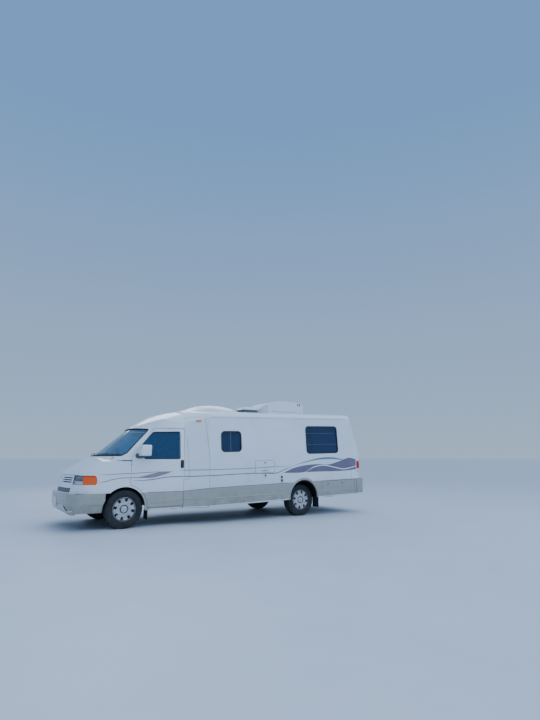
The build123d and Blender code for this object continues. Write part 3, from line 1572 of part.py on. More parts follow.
# Mud flaps behind the wheels
flap_thickness = 8
front_flap = (-412, 690, 890, 128, sill_z)
rear_flap_u = -4072
rear_flap = (rear_flap_u, 860, 1062, 165, coach_height(rear_flap_u, rocker_z))
with BuildPart() as mud_flaps:
    for u, y0, y1, z0, z1 in (front_flap, rear_flap):
        for sign in (1, -1):
            span((station(u), station(u) + flap_thickness), (sign * y0, sign * y1), (z0, z1))
    add(rising_region(seam_u, rear_wall_u, rocker_z, boundary_z), mode=Mode.SUBTRACT)
finish(mud_flaps, "mud_flaps")

# Blank plate on the front bumper, on a pad that fits the bow
plate_width = 305
plate_height = 152
plate_thickness = station(front_overhang) - station(bumper_front_u)
plate_z = 445
plate_edge = 8
with BuildPart() as front_plate:
    span((station(bumper_front_u) - 30, station(bumper_front_u)),
         (plate_edge - plate_width / 2, plate_width / 2 - plate_edge),
         (plate_z - plate_height / 2 + plate_edge, plate_z + plate_height / 2 - plate_edge))
    add(front_bumper.part, mode=Mode.SUBTRACT)
    span((station(bumper_front_u), station(bumper_front_u) + plate_thickness),
         (-plate_width / 2, plate_width / 2), (plate_z - plate_height / 2, plate_z + plate_height / 2))
    for sign in (1, -1):
        with Locations(Location((station(bumper_front_u), sign * screw_pitch / 2, screw_z), (0, 90, 0))):
            Cylinder(screw_radius, 80, mode=Mode.SUBTRACT)
finish(front_plate, "front_plate")

# Tail lamps wrap the rear corners; marker lamps sit on the flare
with BuildPart() as tail_lamps:
    add(wall(coach_hull(-6), coach_hull(coach_wall)))
    add(tail_zone.part, mode=Mode.INTERSECT)
finish(tail_lamps, "tail_lamps")

marker_u = (-1352, -1262)
marker_z = (1862, 1894)
with BuildPart() as marker_lamps:
    add(wall(flare_hull(-12), flare_outer))
    span((station(marker_u[0]), station(marker_u[1])), (-far, far), marker_z, mode=Mode.INTERSECT)
finish(marker_lamps, "marker_lamps")

# Fittings on the left side: vent hatch, water filler and power inlet
vent_hatch = (-2721, 1018, 462, 252, 44)
filler = (-2729, 844, 34)
inlet_hatch = (-3122, 770, 62, 150, 12)
fitting_proud = 7
with BuildPart() as fitting_zone:
    with BuildSketch(Plane.XZ):
        for u, z, length, height, radius in (vent_hatch, inlet_hatch):
            with Locations(Location((station(u), z, 0), (0, 0, -coach_rise))):
                RectangleRounded(length, height, radius)
        with Locations((station(filler[0]), filler[1])):
            Circle(filler[2])
    extrude(amount=-far)
with BuildPart() as side_fittings:
    add(wall(coach_hull(-fitting_proud), coach_outer))
    add(fitting_zone.part, mode=Mode.INTERSECT)
finish(side_fittings, "side_fittings")

# Roof vent: a base ring on the roof and a low lid hinged at its rear edge
vent_hinge_x = roof_vent_x[0] - hinge_radius - 1
vent_lid_z = vent_top_z + 6
vent_hinge_z = vent_lid_z + hinge_radius / 2
vent_hinge_y = (-120, 120)
with BuildPart() as roof_vent_base:
    span(roof_vent_x, (-vent_half, vent_half), (2000, vent_top_z))
    span((roof_vent_x[0] + vent_wall, roof_vent_x[1] - vent_wall), (vent_wall - vent_half, vent_half - vent_wall),
         (0, far), mode=Mode.SUBTRACT)
    add(coach_outer, mode=Mode.SUBTRACT)
    add(cross_fixed(vent_hinge_x, vent_hinge_z, vent_hinge_y,
                    (vent_hinge_x - hinge_radius, roof_vent_x[0] + vent_wall / 2), (vent_top_z - 12, vent_lid_z - 1)))
finish(roof_vent_base, "roof_vent_base")

with BuildPart() as roof_vent_lid:
    with BuildSketch(Plane.XY.offset(vent_lid_z)):
        with Locations(((roof_vent_x[0] + roof_vent_x[1]) / 2 + 6, 0)):
            RectangleRounded(vent_u[1] - vent_u[0] + 12, 2 * vent_half + 12, 40)
    extrude(amount=vent_dome, taper=38)
    add(cross_notches(vent_hinge_x, vent_hinge_z, vent_hinge_y), mode=Mode.SUBTRACT)
    add(cross_knuckles(vent_hinge_x, vent_hinge_z, vent_hinge_y, (vent_hinge_x, vent_hinge_x + 40),
                       (vent_lid_z, vent_hinge_z + hinge_radius / 2)))
finish(roof_vent_lid, "roof_vent_lid")

# Roof air conditioner: long shroud with a rounded nose and a raked rear
ac_u = (-4240, -3115)
ac_half = 350
ac_top_z = 2458
with BuildPart() as roof_ac:
    with BuildSketch(Plane.XZ):
        with BuildLine():
            Polyline((station(ac_u[1]), 2000), (station(ac_u[1]), 2250), (station(-3225), 2378))
            ThreePointArc((station(-3225), 2378), (station(-3450), 2440), (station(-3780), ac_top_z))
            Polyline((station(-3780), ac_top_z), (station(-4130), 2446), (station(-4215), 2395),
                     (station(ac_u[0]), 2300), (station(ac_u[0]), 2000), (station(ac_u[1]), 2000))
        make_face()
    extrude(amount=ac_half, both=True)
    with BuildSketch(Plane.XY.offset(1900)):
        with BuildLine():
            ThreePointArc((station(-3260), ac_half), (station(ac_u[1]), 0), (station(-3260), -ac_half))
            Polyline((station(-3260), -ac_half), (station(ac_u[0]), -ac_half), (station(ac_u[0]), ac_half),
                     (station(-3260), ac_half))
        make_face()
        fillet(vertices().group_by(Axis.X)[0], 60)
    extrude(amount=800, mode=Mode.INTERSECT)
    add(coach_outer, mode=Mode.SUBTRACT)
finish(roof_ac, "roof_ac")
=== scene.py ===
import json
import math

import bmesh
import bpy
from mathutils import Matrix, Vector
from mathutils.bvhtree import BVHTree

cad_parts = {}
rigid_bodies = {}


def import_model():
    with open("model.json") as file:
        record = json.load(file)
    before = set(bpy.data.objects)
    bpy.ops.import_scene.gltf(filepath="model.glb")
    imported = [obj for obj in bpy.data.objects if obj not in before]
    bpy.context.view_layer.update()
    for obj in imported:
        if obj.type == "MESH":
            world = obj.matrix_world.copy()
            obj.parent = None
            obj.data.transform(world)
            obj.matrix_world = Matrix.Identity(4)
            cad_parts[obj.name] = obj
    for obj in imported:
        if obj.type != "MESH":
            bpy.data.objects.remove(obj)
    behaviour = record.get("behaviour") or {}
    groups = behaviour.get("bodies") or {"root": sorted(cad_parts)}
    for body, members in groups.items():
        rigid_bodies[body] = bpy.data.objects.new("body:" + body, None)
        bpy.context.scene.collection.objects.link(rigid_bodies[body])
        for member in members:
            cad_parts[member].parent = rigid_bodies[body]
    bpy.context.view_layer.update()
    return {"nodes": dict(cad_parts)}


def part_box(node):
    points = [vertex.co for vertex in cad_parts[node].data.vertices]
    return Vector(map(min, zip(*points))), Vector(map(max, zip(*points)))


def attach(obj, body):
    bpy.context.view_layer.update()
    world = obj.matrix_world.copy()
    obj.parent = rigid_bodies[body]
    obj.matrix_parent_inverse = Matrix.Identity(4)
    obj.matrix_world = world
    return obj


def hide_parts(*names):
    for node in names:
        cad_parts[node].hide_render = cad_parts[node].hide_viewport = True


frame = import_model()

nodes = frame["nodes"]
print("frame loaded:", len(nodes), "nodes")

# Places taken from the frame, in metres. u runs forward from the front axle.
tyreLow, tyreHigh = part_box("tyre_front_left")
frontAxle = (tyreLow.x + tyreHigh.x) / 2
rearLow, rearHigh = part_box("tyre_rear_left")
rearAxle = (rearLow.x + rearHigh.x) / 2
wheelZ = (tyreLow.z + tyreHigh.z) / 2
sides = (("left", 1), ("right", -1))
sceneLinks = bpy.context.scene.collection.objects


def at(u):
    return frontAxle + u


def toLinear(hexColour):
    parts = [int(hexColour[i:i + 2], 16) / 255 for i in (1, 3, 5)]
    return [c / 12.92 if c <= 0.04045 else ((c + 0.055) / 1.055) ** 2.4 for c in parts] + [1.0]


def addNode(tree, kind, settings=None, links=None, out=0):
    # settings set options and inputs, links join sources to inputs; returns one output, or the node
    node = tree.nodes.new("ShaderNode" + kind)
    for key, value in (settings or {}).items():
        if isinstance(value, str) and value.startswith("#"):
            value = toLinear(value)
        if isinstance(key, str) and hasattr(node, key):
            setattr(node, key, value)
        else:
            node.inputs[key].default_value = value
    for key, source in (links or {}).items():
        tree.links.new(source, node.inputs[key])
    return node if out is None else node.outputs[out]


def newMaterial(name, settings):
    material = bpy.data.materials.new(name)
    material.use_nodes = True
    tree = material.node_tree
    tree.nodes.clear()
    shader = addNode(tree, "BsdfPrincipled", settings, out=None)
    addNode(tree, "OutputMaterial", links={0: shader.outputs[0]}, out=None)
    return material, tree, shader.inputs, addNode(tree, "TexCoord", out="Object")


def dustAndShadeLow(tree, place, colour, dust, lowZ, highZ, strength):
    # darker near the ground, broken up by 140 mm patches: road dust, which on the silver lower band also
    # carries painted shade
    height = addNode(tree, "SeparateXYZ", links={0: place}, out=2)
    fall = addNode(tree, "MapRange", {"From Min": lowZ, "From Max": highZ, "To Min": strength, "To Max": 0.0},
                   {"Value": height})
    patches = addNode(tree, "TexNoise", {"Scale": 1000 / 140, "Detail": 5.0, "Roughness": 0.65},
                      {"Vector": place})
    broken = addNode(tree, "MapRange", {"From Min": 0.35, "From Max": 0.68}, {"Value": patches})
    share = addNode(tree, "Math", {"operation": "MULTIPLY"}, {0: fall, 1: broken})
    return addNode(tree, "Mix", {"data_type": "RGBA", 7: dust}, {0: share, 6: colour}, 2)


def mottled(name, settings, light, dark, patchMm, grainMm=None, depthMm=0.05, strength=0.4):
    # tone drifting between two colours in patches, over a grain that breaks up the highlights
    material, tree, shader, place = newMaterial(name, settings)
    drift = addNode(tree, "TexNoise", {"Scale": 1000 / patchMm, "Detail": 4.0, "Roughness": 0.6},
                    {"Vector": place})
    share = addNode(tree, "MapRange", {"From Min": 0.35, "From Max": 0.7}, {"Value": drift})
    tone = addNode(tree, "Mix", {"data_type": "RGBA", 6: light, 7: dark}, {0: share}, 2)
    tree.links.new(tone, shader["Base Color"])
    if grainMm:
        grain = addNode(tree, "TexNoise", {"Scale": 1000 / grainMm, "Detail": 2.0}, {"Vector": place})
        bump = addNode(tree, "Bump", {"Strength": strength, "Distance": depthMm / 1000}, {"Height": grain})
        tree.links.new(bump, shader["Normal"])
    return material, tree, shader, place, tone


# Materials, named for the real stuff and how its surface was made; where one carries painted light or shade,
# its comment says so.
# Top edge of the silver band: level on the cab, sloping up over the flare, and a little more along the coach
bandEdge = {"cab": 0.592, "coach": 0.637, "from": at(-1.057), "to": at(-1.505), "end": at(-2.153),
            "rise": 0.018}


def sprayedEnamel():
    # steel cab in white enamel under clear lacquer: wet gloss, faint orange peel, silver below the band's edge
    gloss = {"Roughness": 0.28, "IOR": 1.5, "Coat Weight": 0.7, "Coat Roughness": 0.04}
    material, tree, shader, place, white = mottled("sprayed_enamel_white", gloss, "#E6E9EB", "#DCE1E5", 900, 6,
                                                   0.02)
    axes = addNode(tree, "SeparateXYZ", links={0: place}, out=None)
    edge = addNode(tree, "MapRange", {"From Min": bandEdge["to"], "From Max": bandEdge["from"],
                                      "To Min": bandEdge["coach"], "To Max": bandEdge["cab"]},
                   {"Value": axes.outputs[0]})
    rise = addNode(tree, "MapRange", {"From Min": bandEdge["end"], "From Max": bandEdge["to"],
                                      "To Min": bandEdge["rise"], "To Max": 0.0}, {"Value": axes.outputs[0]})
    edge = addNode(tree, "Math", {"operation": "ADD"}, {0: edge, 1: rise})
    below = addNode(tree, "Math", {"operation": "LESS_THAN"}, {0: axes.outputs[2], 1: edge})
    flake = addNode(tree, "TexNoise", {"Scale": 1000 / 3, "Detail": 1.0}, {"Vector": place})
    silver = addNode(tree, "Mix", {"data_type": "RGBA", 6: "#A19D95", 7: "#B0ACA4"}, {0: flake}, 2)
    base = addNode(tree, "Mix", {"data_type": "RGBA"}, {0: below, 6: white, 7: silver}, 2)
    # darker towards the ground: road dust, with painted shade on the silver band
    tree.links.new(dustAndShadeLow(tree, place, base, "#8A867C", 0.28, 0.75, 0.5), shader["Base Color"])
    return material


def mouldedGelcoat():
    # glass fibre, white gelcoat from a polished mould: soft gloss, long ripples, a little chalking
    material, tree, shader, place, white = mottled("moulded_gelcoat_white", {
        "IOR": 1.52, "Coat Weight": 0.25, "Coat Roughness": 0.12}, "#E3E7EA", "#D6DCE1", 700, 420, 0.7, 0.25)
    tree.links.new(dustAndShadeLow(tree, place, white, "#A09C92", 0.5, 1.1, 0.25), shader["Base Color"])
    chalk = addNode(tree, "TexNoise", {"Scale": 1000 / 260, "Detail": 4.0}, {"Vector": place})
    tree.links.new(addNode(tree, "MapRange", {"From Min": 0.3, "From Max": 0.7, "To Min": 0.26, "To Max": 0.4},
                           {"Value": chalk}), shader["Roughness"])
    return material


def metallicChampagne():
    # champagne silver base coat, aluminium flake drawn at 2 mm so that it still shows
    material, tree, shader, place = newMaterial("metallic_champagne_silver", {
        "Metallic": 0.5, "Roughness": 0.36, "IOR": 1.5, "Coat Weight": 0.5, "Coat Roughness": 0.08})
    sparkle = addNode(tree, "TexNoise", {"Scale": 1000 / 2, "Detail": 0.0}, {"Vector": place})
    share = addNode(tree, "MapRange", {"From Min": 0.4, "From Max": 0.62}, {"Value": sparkle})
    base = addNode(tree, "Mix", {"data_type": "RGBA", 6: "#9E9A92", 7: "#BBB7AE"}, {0: share}, 2)
    # darker towards the bottom of the band: road dust and painted shade
    tree.links.new(dustAndShadeLow(tree, place, base, "#7E7A70", 0.26, 0.66, 0.7), shader["Base Color"])
    return material


def floatGlass(name, tint, through=0.92):
    # float glass: flat and clear, its tint deep in the pane; a breath of dust keeps it from vanishing
    material, tree, shader, place = newMaterial(name, {"Base Color": tint, "IOR": 1.5,
                                                       "Transmission Weight": through})
    dust = addNode(tree, "TexNoise", {"Scale": 1000 / 180, "Detail": 4.0}, {"Vector": place})
    tree.links.new(addNode(tree, "MapRange", {"From Min": 0.4, "From Max": 0.8, "To Min": 0.0, "To Max": 0.05},
                           {"Value": dust}), shader["Roughness"])
    return material


def tyreRubber():
    # carbon-black rubber: matt, browner with dust towards the tread
    material, tree, shader, place, worn = mottled("moulded_tyre_rubber", {"Roughness": 0.78, "IOR": 1.5},
                                                  "#15161A", "#27282B", 40, 3, 0.15, 0.5)
    tree.links.new(dustAndShadeLow(tree, place, worn, "#4E4A43", 0.0, 0.75, 0.4), shader["Base Color"])
    return material


def lampLens(name, zones, fluteMm, through):
    # moulded polycarbonate lens: glossy outside, upright flutes inside; zones are (height, colour) from below
    material, tree, shader, place = newMaterial(name, {
        "Base Color": zones[0][1], "Roughness": 0.06, "IOR": 1.58, "Transmission Weight": through})
    lower = {}
    for start, colour in zones[1:]:
        height = addNode(tree, "SeparateXYZ", links={0: place}, out=2)
        above = addNode(tree, "Math", {"operation": "GREATER_THAN", 1: start}, {0: height})
        tone = addNode(tree, "Mix", {"data_type": "RGBA", 6: zones[0][1], 7: colour}, {0: above, **lower}, 2)
        tree.links.new(tone, shader["Base Color"])
        lower = {6: tone}
    flutes = addNode(tree, "TexWave", {"bands_direction": "DIAGONAL", "Scale": 628 / fluteMm},
                     {"Vector": place}, 1)
    tree.links.new(addNode(tree, "Bump", {"Strength": 0.5, "Distance": 0.0008}, {"Height": flutes}),
                   shader["Normal"])
    return material


def dippedChassisBlack():
    # dip-painted steel: satin black, dust settled on it and rust breaking through
    material, tree, shader, place, base = mottled("dipped_chassis_black", {"IOR": 1.5}, "#17181A", "#3F3C37",
                                                  160, 8, 0.3, 0.5)
    spots = addNode(tree, "TexNoise", {"Scale": 1000 / 55, "Detail": 7.0, "Roughness": 0.72}, {"Vector": place})
    rust = addNode(tree, "MapRange", {"From Min": 0.58, "From Max": 0.74}, {"Value": spots})
    tree.links.new(addNode(tree, "Mix", {"data_type": "RGBA", 7: "#5A3A26"}, {0: rust, 6: base}, 2),
                   shader["Base Color"])
    tree.links.new(addNode(tree, "MapRange", {"To Min": 0.55, "To Max": 0.9}, {"Value": rust}),
                   shader["Roughness"])
    return material


def finnedAluminium():
    # radiator core: thin fins every 2 mm, drawn every 6 mm so that they show; the dark bands between them are
    # painted shade
    material, tree, shader, place = newMaterial("finned_aluminium_core", {"Metallic": 0.9, "Roughness": 0.45})
    fins = addNode(tree, "TexWave", {"bands_direction": "Y", "Scale": 314 / 6}, {"Vector": place}, 1)
    # dark gaps between the fins: painted shade
    tree.links.new(addNode(tree, "Mix", {"data_type": "RGBA", 6: "#2C2E30", 7: "#8D9194"}, {0: fins}, 2),
                   shader["Base Color"])
    tree.links.new(addNode(tree, "Bump", {"Strength": 0.8, "Distance": 0.0015}, {"Height": fins}),
                   shader["Normal"])
    return material


def wovenSeatCloth():
    # flat-woven polyester, threads 1.2 mm apart drawn at 4 mm: matt with a soft edge sheen
    material, tree, shader, place = newMaterial("woven_seat_cloth_grey", {
        "Roughness": 0.9, "IOR": 1.5, "Sheen Weight": 0.35, "Sheen Roughness": 0.5})
    warp = addNode(tree, "TexWave", {"bands_direction": "Y", "Scale": 314 / 4}, {"Vector": place}, 1)
    weft = addNode(tree, "TexWave", {"bands_direction": "Z", "Scale": 314 / 4}, {"Vector": place}, 1)
    weave = addNode(tree, "Math", {"operation": "MULTIPLY"}, {0: warp, 1: weft})
    fleck = addNode(tree, "TexNoise", {"Scale": 1000 / 14, "Detail": 4.0}, {"Vector": place})
    yarn = addNode(tree, "Mix", {"data_type": "RGBA", 6: "#5B5E66", 7: "#7A7672"}, {0: fleck}, 2)
    tree.links.new(addNode(tree, "Mix", {"data_type": "RGBA", 6: "#3D4048"}, {0: weave, 7: yarn}, 2),
                   shader["Base Color"])
    tree.links.new(addNode(tree, "Bump", {"Strength": 0.6, "Distance": 0.0005}, {"Height": weave}),
                   shader["Normal"])
    return material


# Stuff with only patches of tone and a grain. Columns: key, name, settings, two tones, patches in mm,
# and where there is a grain its size and depth in mm and its strength
satin = {"Roughness": 0.5, "IOR": 1.54}
film = {"Roughness": 0.35, "IOR": 1.5, "Coat Weight": 0.3, "Coat Roughness": 0.1}
plainStuff = (
    # EPDM profile: matt, greyer where the sun has aged it
    ("rubber", "extruded_rubber_black", {"Roughness": 0.72, "IOR": 1.52}, "#141517", "#26272A", 35, 2),
    # wheel cover in silver lacquer on plastic: soft metal gloss, brake dust in the hollows
    ("wheel", "lacquered_wheel_silver", {"Metallic": 0.45, "Roughness": 0.34, "IOR": 1.5, "Coat Weight": 0.3,
                                         "Coat Roughness": 0.15}, "#C9CCD0", "#A3A19C", 30, 2, 0.02),
    # pressed steel wheel behind the cover: dull black, dusty
    ("wheelSteel", "painted_wheel_steel", {"Roughness": 0.7, "IOR": 1.5}, "#1B1C1E", "#35322E", 40, 4),
    # injection-moulded ABS: even satin with a fine spark-eroded grain, the white one glossier
    ("blackAbs", "moulded_abs_black", satin, "#17181A", "#222326", 60, 1.2),
    ("greyAbs", "moulded_abs_grey", satin, "#4A4D51", "#5A5D61", 60, 1.5),
    ("grilleAbs", "moulded_grille_grey", satin, "#9A9C9E", "#86888A", 60, 1.5),
    ("whiteAbs", "moulded_abs_white", {"Roughness": 0.4, "IOR": 1.54}, "#E0E4E7", "#D2D8DC", 60, 2, 0.03),
    # sealant drawn into a joint: grey, matt, picked out by dirt
    ("seamGrey", "tooled_joint_sealant", {"Roughness": 0.7, "IOR": 1.45}, "#6E747A", "#565B60", 45),
    # dash skin: slush-moulded vinyl with a leather grain
    ("dash", "slush_moulded_dash_vinyl", {"Roughness": 0.6, "IOR": 1.5}, "#33353A", "#3E4045", 90, 1.8, 0.12),
    # bright metal evaporated behind glass: the door mirrors
    ("mirrorFace", "silvered_mirror_glass", {"Metallic": 1.0, "Roughness": 0.14}, "#E6EAEE", "#D2D8DE", 25),
    # aluminium evaporated on plastic, made darker as painted shade: the upper bowls of the headlamps
    ("shadedLampBowl", "lamp_bowl_painted_shade", {"Metallic": 0.9, "Roughness": 0.3}, "#8E969F", "#7C848E", 25),
    # plain white: the lower bowls of the headlamps, a painted highlight where the reflector catches the light
    ("litLampBowl", "lamp_bowl_painted_highlight", {"Roughness": 0.35, "IOR": 1.5}, "#FFFFFF", "#EEF4F9", 25),
    # sand-cast iron: grit from the mould, oil-darkened in patches
    ("iron", "sand_cast_iron", {"Metallic": 0.75, "Roughness": 0.62}, "#4B4A48", "#2F2E2D", 70, 1.6, 0.25),
    # aluminised tube: dull grey, brown where it runs hot
    ("exhaust", "rolled_aluminised_tube", {"Metallic": 0.8, "Roughness": 0.55}, "#77736D", "#5E452F", 240, 5,
     0.2),
    # polyethylene from a rotating mould: waxy and slightly pebbled
    ("tank", "rotomoulded_polyethylene", {"Roughness": 0.58, "IOR": 1.51}, "#2B2D30", "#45443F", 220, 9, 0.3),
    # cut-pile carpet, tufts 5 mm apart
    ("carpet", "tufted_floor_carpet", {"Roughness": 0.95, "Sheen Weight": 0.3, "Sheen Roughness": 0.6},
     "#34353A", "#57565A", 50, 5, 2.0, 0.7),
    # aluminium plate under white reflective film, blank
    ("plate", "filmed_plate_white", {"Roughness": 0.4, "IOR": 1.5, "Coat Weight": 0.4, "Coat Roughness": 0.1},
     "#D5D9DC", "#BFC3C6", 50),
    # bright zinc on steel: rods, screws, rims and the lid's lock
    ("zinc", "zinc_plated_steel", {"Metallic": 1.0, "Roughness": 0.38}, "#9FA3A6", "#7D8083", 12),
    # cast vinyl film, a little faded: satin, flat on the paint
    ("mauve", "cut_vinyl_mauve", film, "#8B7A88", "#978794", 160),
    ("slate", "cut_vinyl_slate", film, "#54687E", "#607489", 160),
    ("plum", "cut_vinyl_plum", film, "#6A6074", "#756B7E", 160),
    ("teal", "cut_vinyl_teal", film, "#4A888E", "#579499", 160),
)
stuff = {key: mottled(*row)[0] for key, *row in plainStuff}
stuff.update({
    "enamel": sprayedEnamel(),
    "gelcoat": mouldedGelcoat(),
    "silver": metallicChampagne(),
    # glass: nearly clear in the screen, darker in the doors, darkest in the coach
    "screenGlass": floatGlass("laminated_screen_glass", "#A9CCDC", 0.9),
    "cabGlass": floatGlass("toughened_cab_glass", "#3C86B8", 0.82),
    "coachGlass": floatGlass("privacy_coach_glass", "#2A5E8C", 0.8),
    "tyre": tyreRubber(),
    # lenses: clear and orange ones plain, amber darker at the top, tail lamps pale, red and orange from below
    "clearLens": lampLens("moulded_lens_clear", ((0, "#FFFFFF"),), 16, 1.0),
    "amberLens": lampLens("moulded_lens_amber", ((0, "#FF6418"), (0.868, "#E23C10")), 14, 0.1),
    "markerLens": lampLens("moulded_lens_marker", ((0, "#FF8420"),), 14, 0.2),
    "redLens": lampLens("moulded_lens_red", ((0, "#E3E6E8"), (0.958, "#C4161C"), (1.085, "#E2501E")), 14, 0.2),
    "chassis": dippedChassisBlack(),
    "radiator": finnedAluminium(),
    "cloth": wovenSeatCloth(),
})
print("materials made:", len(stuff))

finishOf = {
    "enamel": ("hood", "front_panel", "wing_left", "wing_right", "cab_shell", "cab_door_left", "cab_door_right",
               "front_cap", "entry_door"),
    "gelcoat": ("coach_wall_left", "coach_wall_right", "coach_wall_rear", "trunk_lid", "coach_roof"),
    "silver": ("skirt_left", "skirt_right", "locker_door", "front_bumper", "rear_bumper"),
    "whiteAbs": ("side_fittings", "roof_vent_lid", "roof_ac"),
    "greyAbs": ("roof_vent_base",),
    "grilleAbs": ("intake_grille",),
    "blackAbs": ("window_frames", "steering_wheel", "seat_bases", "wheel_liners"),
    "screenGlass": ("windshield",),
    "cabGlass": ("cab_glass_left", "cab_glass_right"),
    "coachGlass": ("coach_glass", "entry_glass"),
    "chassis": ("chassis_frame", "front_suspension", "rear_suspension"),
    "iron": ("engine_block", "knuckle_left", "knuckle_right"),
    "radiator": ("radiator",),
    "exhaust": ("exhaust",),
    "tank": ("underfloor_tanks",),
    "carpet": ("floor_pan",),
    "dash": ("dashboard",),
    "rubber": ("mud_flaps",),
    "plate": ("front_plate",),
    "redLens": ("tail_lamps",),
    "amberLens": ("turn_lamps",),
    "markerLens": ("marker_lamps",),
    "clearLens": ("headlamps",),
    "cloth": ("seats",),
    "tyre": tuple(f"tyre_{end}_{side}" for end in ("front", "rear") for side, sign in sides),
    "wheelSteel": tuple(f"wheel_{end}_{side}" for end in ("front", "rear") for side, sign in sides),
}
for finish, members in finishOf.items():
    for member in members:
        node = nodes[member]
        node.data.materials.clear()
        node.data.materials.append(stuff[finish])
print("frame dressed")

# Edges of the doors as stations, how far a stripe stays from a seam, and the stations where the skins change
doorEdges = (-0.085, -1.057)
entryEdges = (-1.557, -2.153)
seamGap = 0.008
noseEnd, coachStart, tailEnd = 1.0, -1.3, -5.4
# Where the rays start: beside the cab inside the door mirrors; nothing nearer the middle than least is skin
rays = {"cab": 0.945, "coach": 1.3, "ahead": 6.0, "least": 0.4}


# Helpers for loose pieces: build a mesh, dress it and hang it on its body
def addPiece(name, points, faces, finish, body, smooth=True):
    mesh = bpy.data.meshes.new(name)
    mesh.from_pydata([tuple(p) for p in points], [], faces)
    mesh.validate()
    mesh.polygons.foreach_set("use_smooth", [smooth] * len(mesh.polygons))
    piece = bpy.data.objects.new(name, mesh)
    sceneLinks.link(piece)
    mesh.materials.append(stuff[finish])
    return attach(piece, body)


def skinOf(*members):
    points, faces = [], []
    for member in members:
        mesh = nodes[member].data
        first = len(points)
        points.extend(v.co.copy() for v in mesh.vertices)
        faces.extend([first + i for i in poly.vertices] for poly in mesh.polygons)
    return BVHTree.FromPolygons(points, faces)


def sideSkins(*members):
    # a skin for each side; a pair of braces in a name stands for the side
    return {side: skinOf(*(member.format(side) for member in members)) for side, sign in sides}


def onSide(skin, u, z, sign):
    start = rays["cab"] if u > doorEdges[1] else rays["coach"]
    place, normal, face, reach = skin.ray_cast(Vector((at(u), sign * start, z)), Vector((0, -sign, 0)))
    if place is None or place.y * sign < rays["least"]:
        return None
    return place, normal if normal.y * sign > 0 else -normal


def castOn(skin, sign):
    # the cast that a pad needs, onto one side
    def cast(u, z):
        return onSide(skin, u, z, sign)
    return cast


def fromAhead(skin, y, z, sign=1):
    place, normal, face, reach = skin.ray_cast(Vector((sign * rays["ahead"], y, z)), Vector((-sign, 0, 0)))
    if place is None:
        return None
    return place, normal if normal.x * sign > 0 else -normal


def curveAt(points, u):
    # smooth height of a drawn line at a station; points run in order of station
    points = sorted(points)
    if u <= points[0][0]:
        return points[0][1]
    for i in range(len(points) - 1):
        (u0, z0), (u1, z1) = points[i], points[i + 1]
        if u <= u1:
            before = points[max(i - 1, 0)]
            after = points[min(i + 2, len(points) - 1)]
            t = (u - u0) / (u1 - u0)
            m0 = (z1 - before[1]) / (u1 - before[0]) * (u1 - u0)
            m1 = (after[1] - z0) / (after[0] - u0) * (u1 - u0)
            return ((2 * t**3 - 3 * t**2 + 1) * z0 + (t**3 - 2 * t**2 + t) * m0
                    + (3 * t**2 - 2 * t**3) * z1 + (t**3 - t**2) * m1)
    return points[-1][1]


def capsule(width, height, steps=6):
    # section of a raised moulding with rounded shoulders
    arc = [math.pi * i / steps for i in range(steps + 1)]
    return [(-width / 2 * math.cos(a), height * math.sin(a) ** 0.6) for a in arc]


def roundedLoop(corners, radius, steps=5):
    # closed outline through the corners, each one rounded
    loop = []
    count = len(corners)
    for i, (x, y) in enumerate(corners):
        corner = Vector((x, y))
        back, ahead = Vector(corners[i - 1]) - corner, Vector(corners[(i + 1) % count]) - corner
        first, last = corner + back.normalized() * radius, corner + ahead.normalized() * radius
        for k in range(steps + 1):
            t = k / steps
            loop.append(first * (1 - t) ** 2 + corner * 2 * t * (1 - t) + last * t ** 2)
    return loop


def spread(loop, gap):
    # points no further apart than gap along a closed outline
    dense = []
    for i, point in enumerate(loop):
        following = loop[(i + 1) % len(loop)]
        steps = max(1, round((following - point).length / gap))
        dense.extend(point.lerp(following, k / steps) for k in range(steps))
    return dense


def walk(route, step=None, count=1):
    # points along a route, each leg cut into pieces of about step, or else into count pieces
    spots = []
    for (a0, b0), (a1, b1) in zip(route, route[1:]):
        parts = max(1, round(math.hypot(a1 - a0, b1 - b0) / step)) if step else count
        spots += [(a0 + (a1 - a0) * k / parts, b0 + (b1 - b0) * k / parts) for k in range(parts)]
    return spots + [route[-1]]


def sideSpots(skin, route, sign, step=None, count=1):
    # a route of (station, height) in mm laid on one side
    return [onSide(skin, u / 1000, z / 1000, sign) for u, z in walk(route, step, count)]


def quads(rows, columns, first=0, closed=False, around=False):
    # faces over rows of points; closed joins the last row to the first, around joins the ends of each row
    faces = []
    for r in range(rows if closed else rows - 1):
        one, two = first + r * columns, first + (r + 1) % rows * columns
        for k in range(columns if around else columns - 1):
            j = (k + 1) % columns
            faces.append([one + k, one + j, two + j, two + k])
    return faces


def sweep(name, stops, profile, finish, body, closed=False):
    # stops are (place, normal); profile points are (across, proud) in metres
    points, count = [], len(stops)
    for i, (place, normal) in enumerate(stops):
        before = stops[i - 1][0] if i or closed else place
        after = stops[(i + 1) % count][0] if i < count - 1 or closed else place
        along = (after - before).normalized()
        across = normal.cross(along).normalized()
        lift = along.cross(across).normalized()
        points.extend(place + across * a + lift * b for a, b in profile)
    return addPiece(name, points, quads(count, len(profile), closed=closed), finish, body)


def moulding(name, spots, section, finish, slot, body="van", closed=False, sunk=0.0):
    # a raised line through the spots where a cast met the skin, let into it by sunk
    stops = [(place - normal * sunk, normal) for place, normal in filter(None, spots)]
    return sweep(name, stops, capsule(*section), finish, body, closed)


def rectangle(a0, b0, a1, b1):
    return [(a0, b0), (a1, b0), (a1, b1), (a0, b1)]


def mm(points):
    return [Vector((a / 1000, b / 1000)) for a, b in points]


def boxOutline(u, z, length, height, radius, lean=0.0):
    # rounded rectangle in side view, in mm, leaning with the coach's own lines when asked
    turn = math.radians(lean)
    moved = [(u + a * math.cos(turn) - b * math.sin(turn), z + a * math.sin(turn) + b * math.cos(turn))
             for a, b in rectangle(-length / 2, -height / 2, length / 2, height / 2)]
    return roundedLoop(mm(moved), radius / 1000)


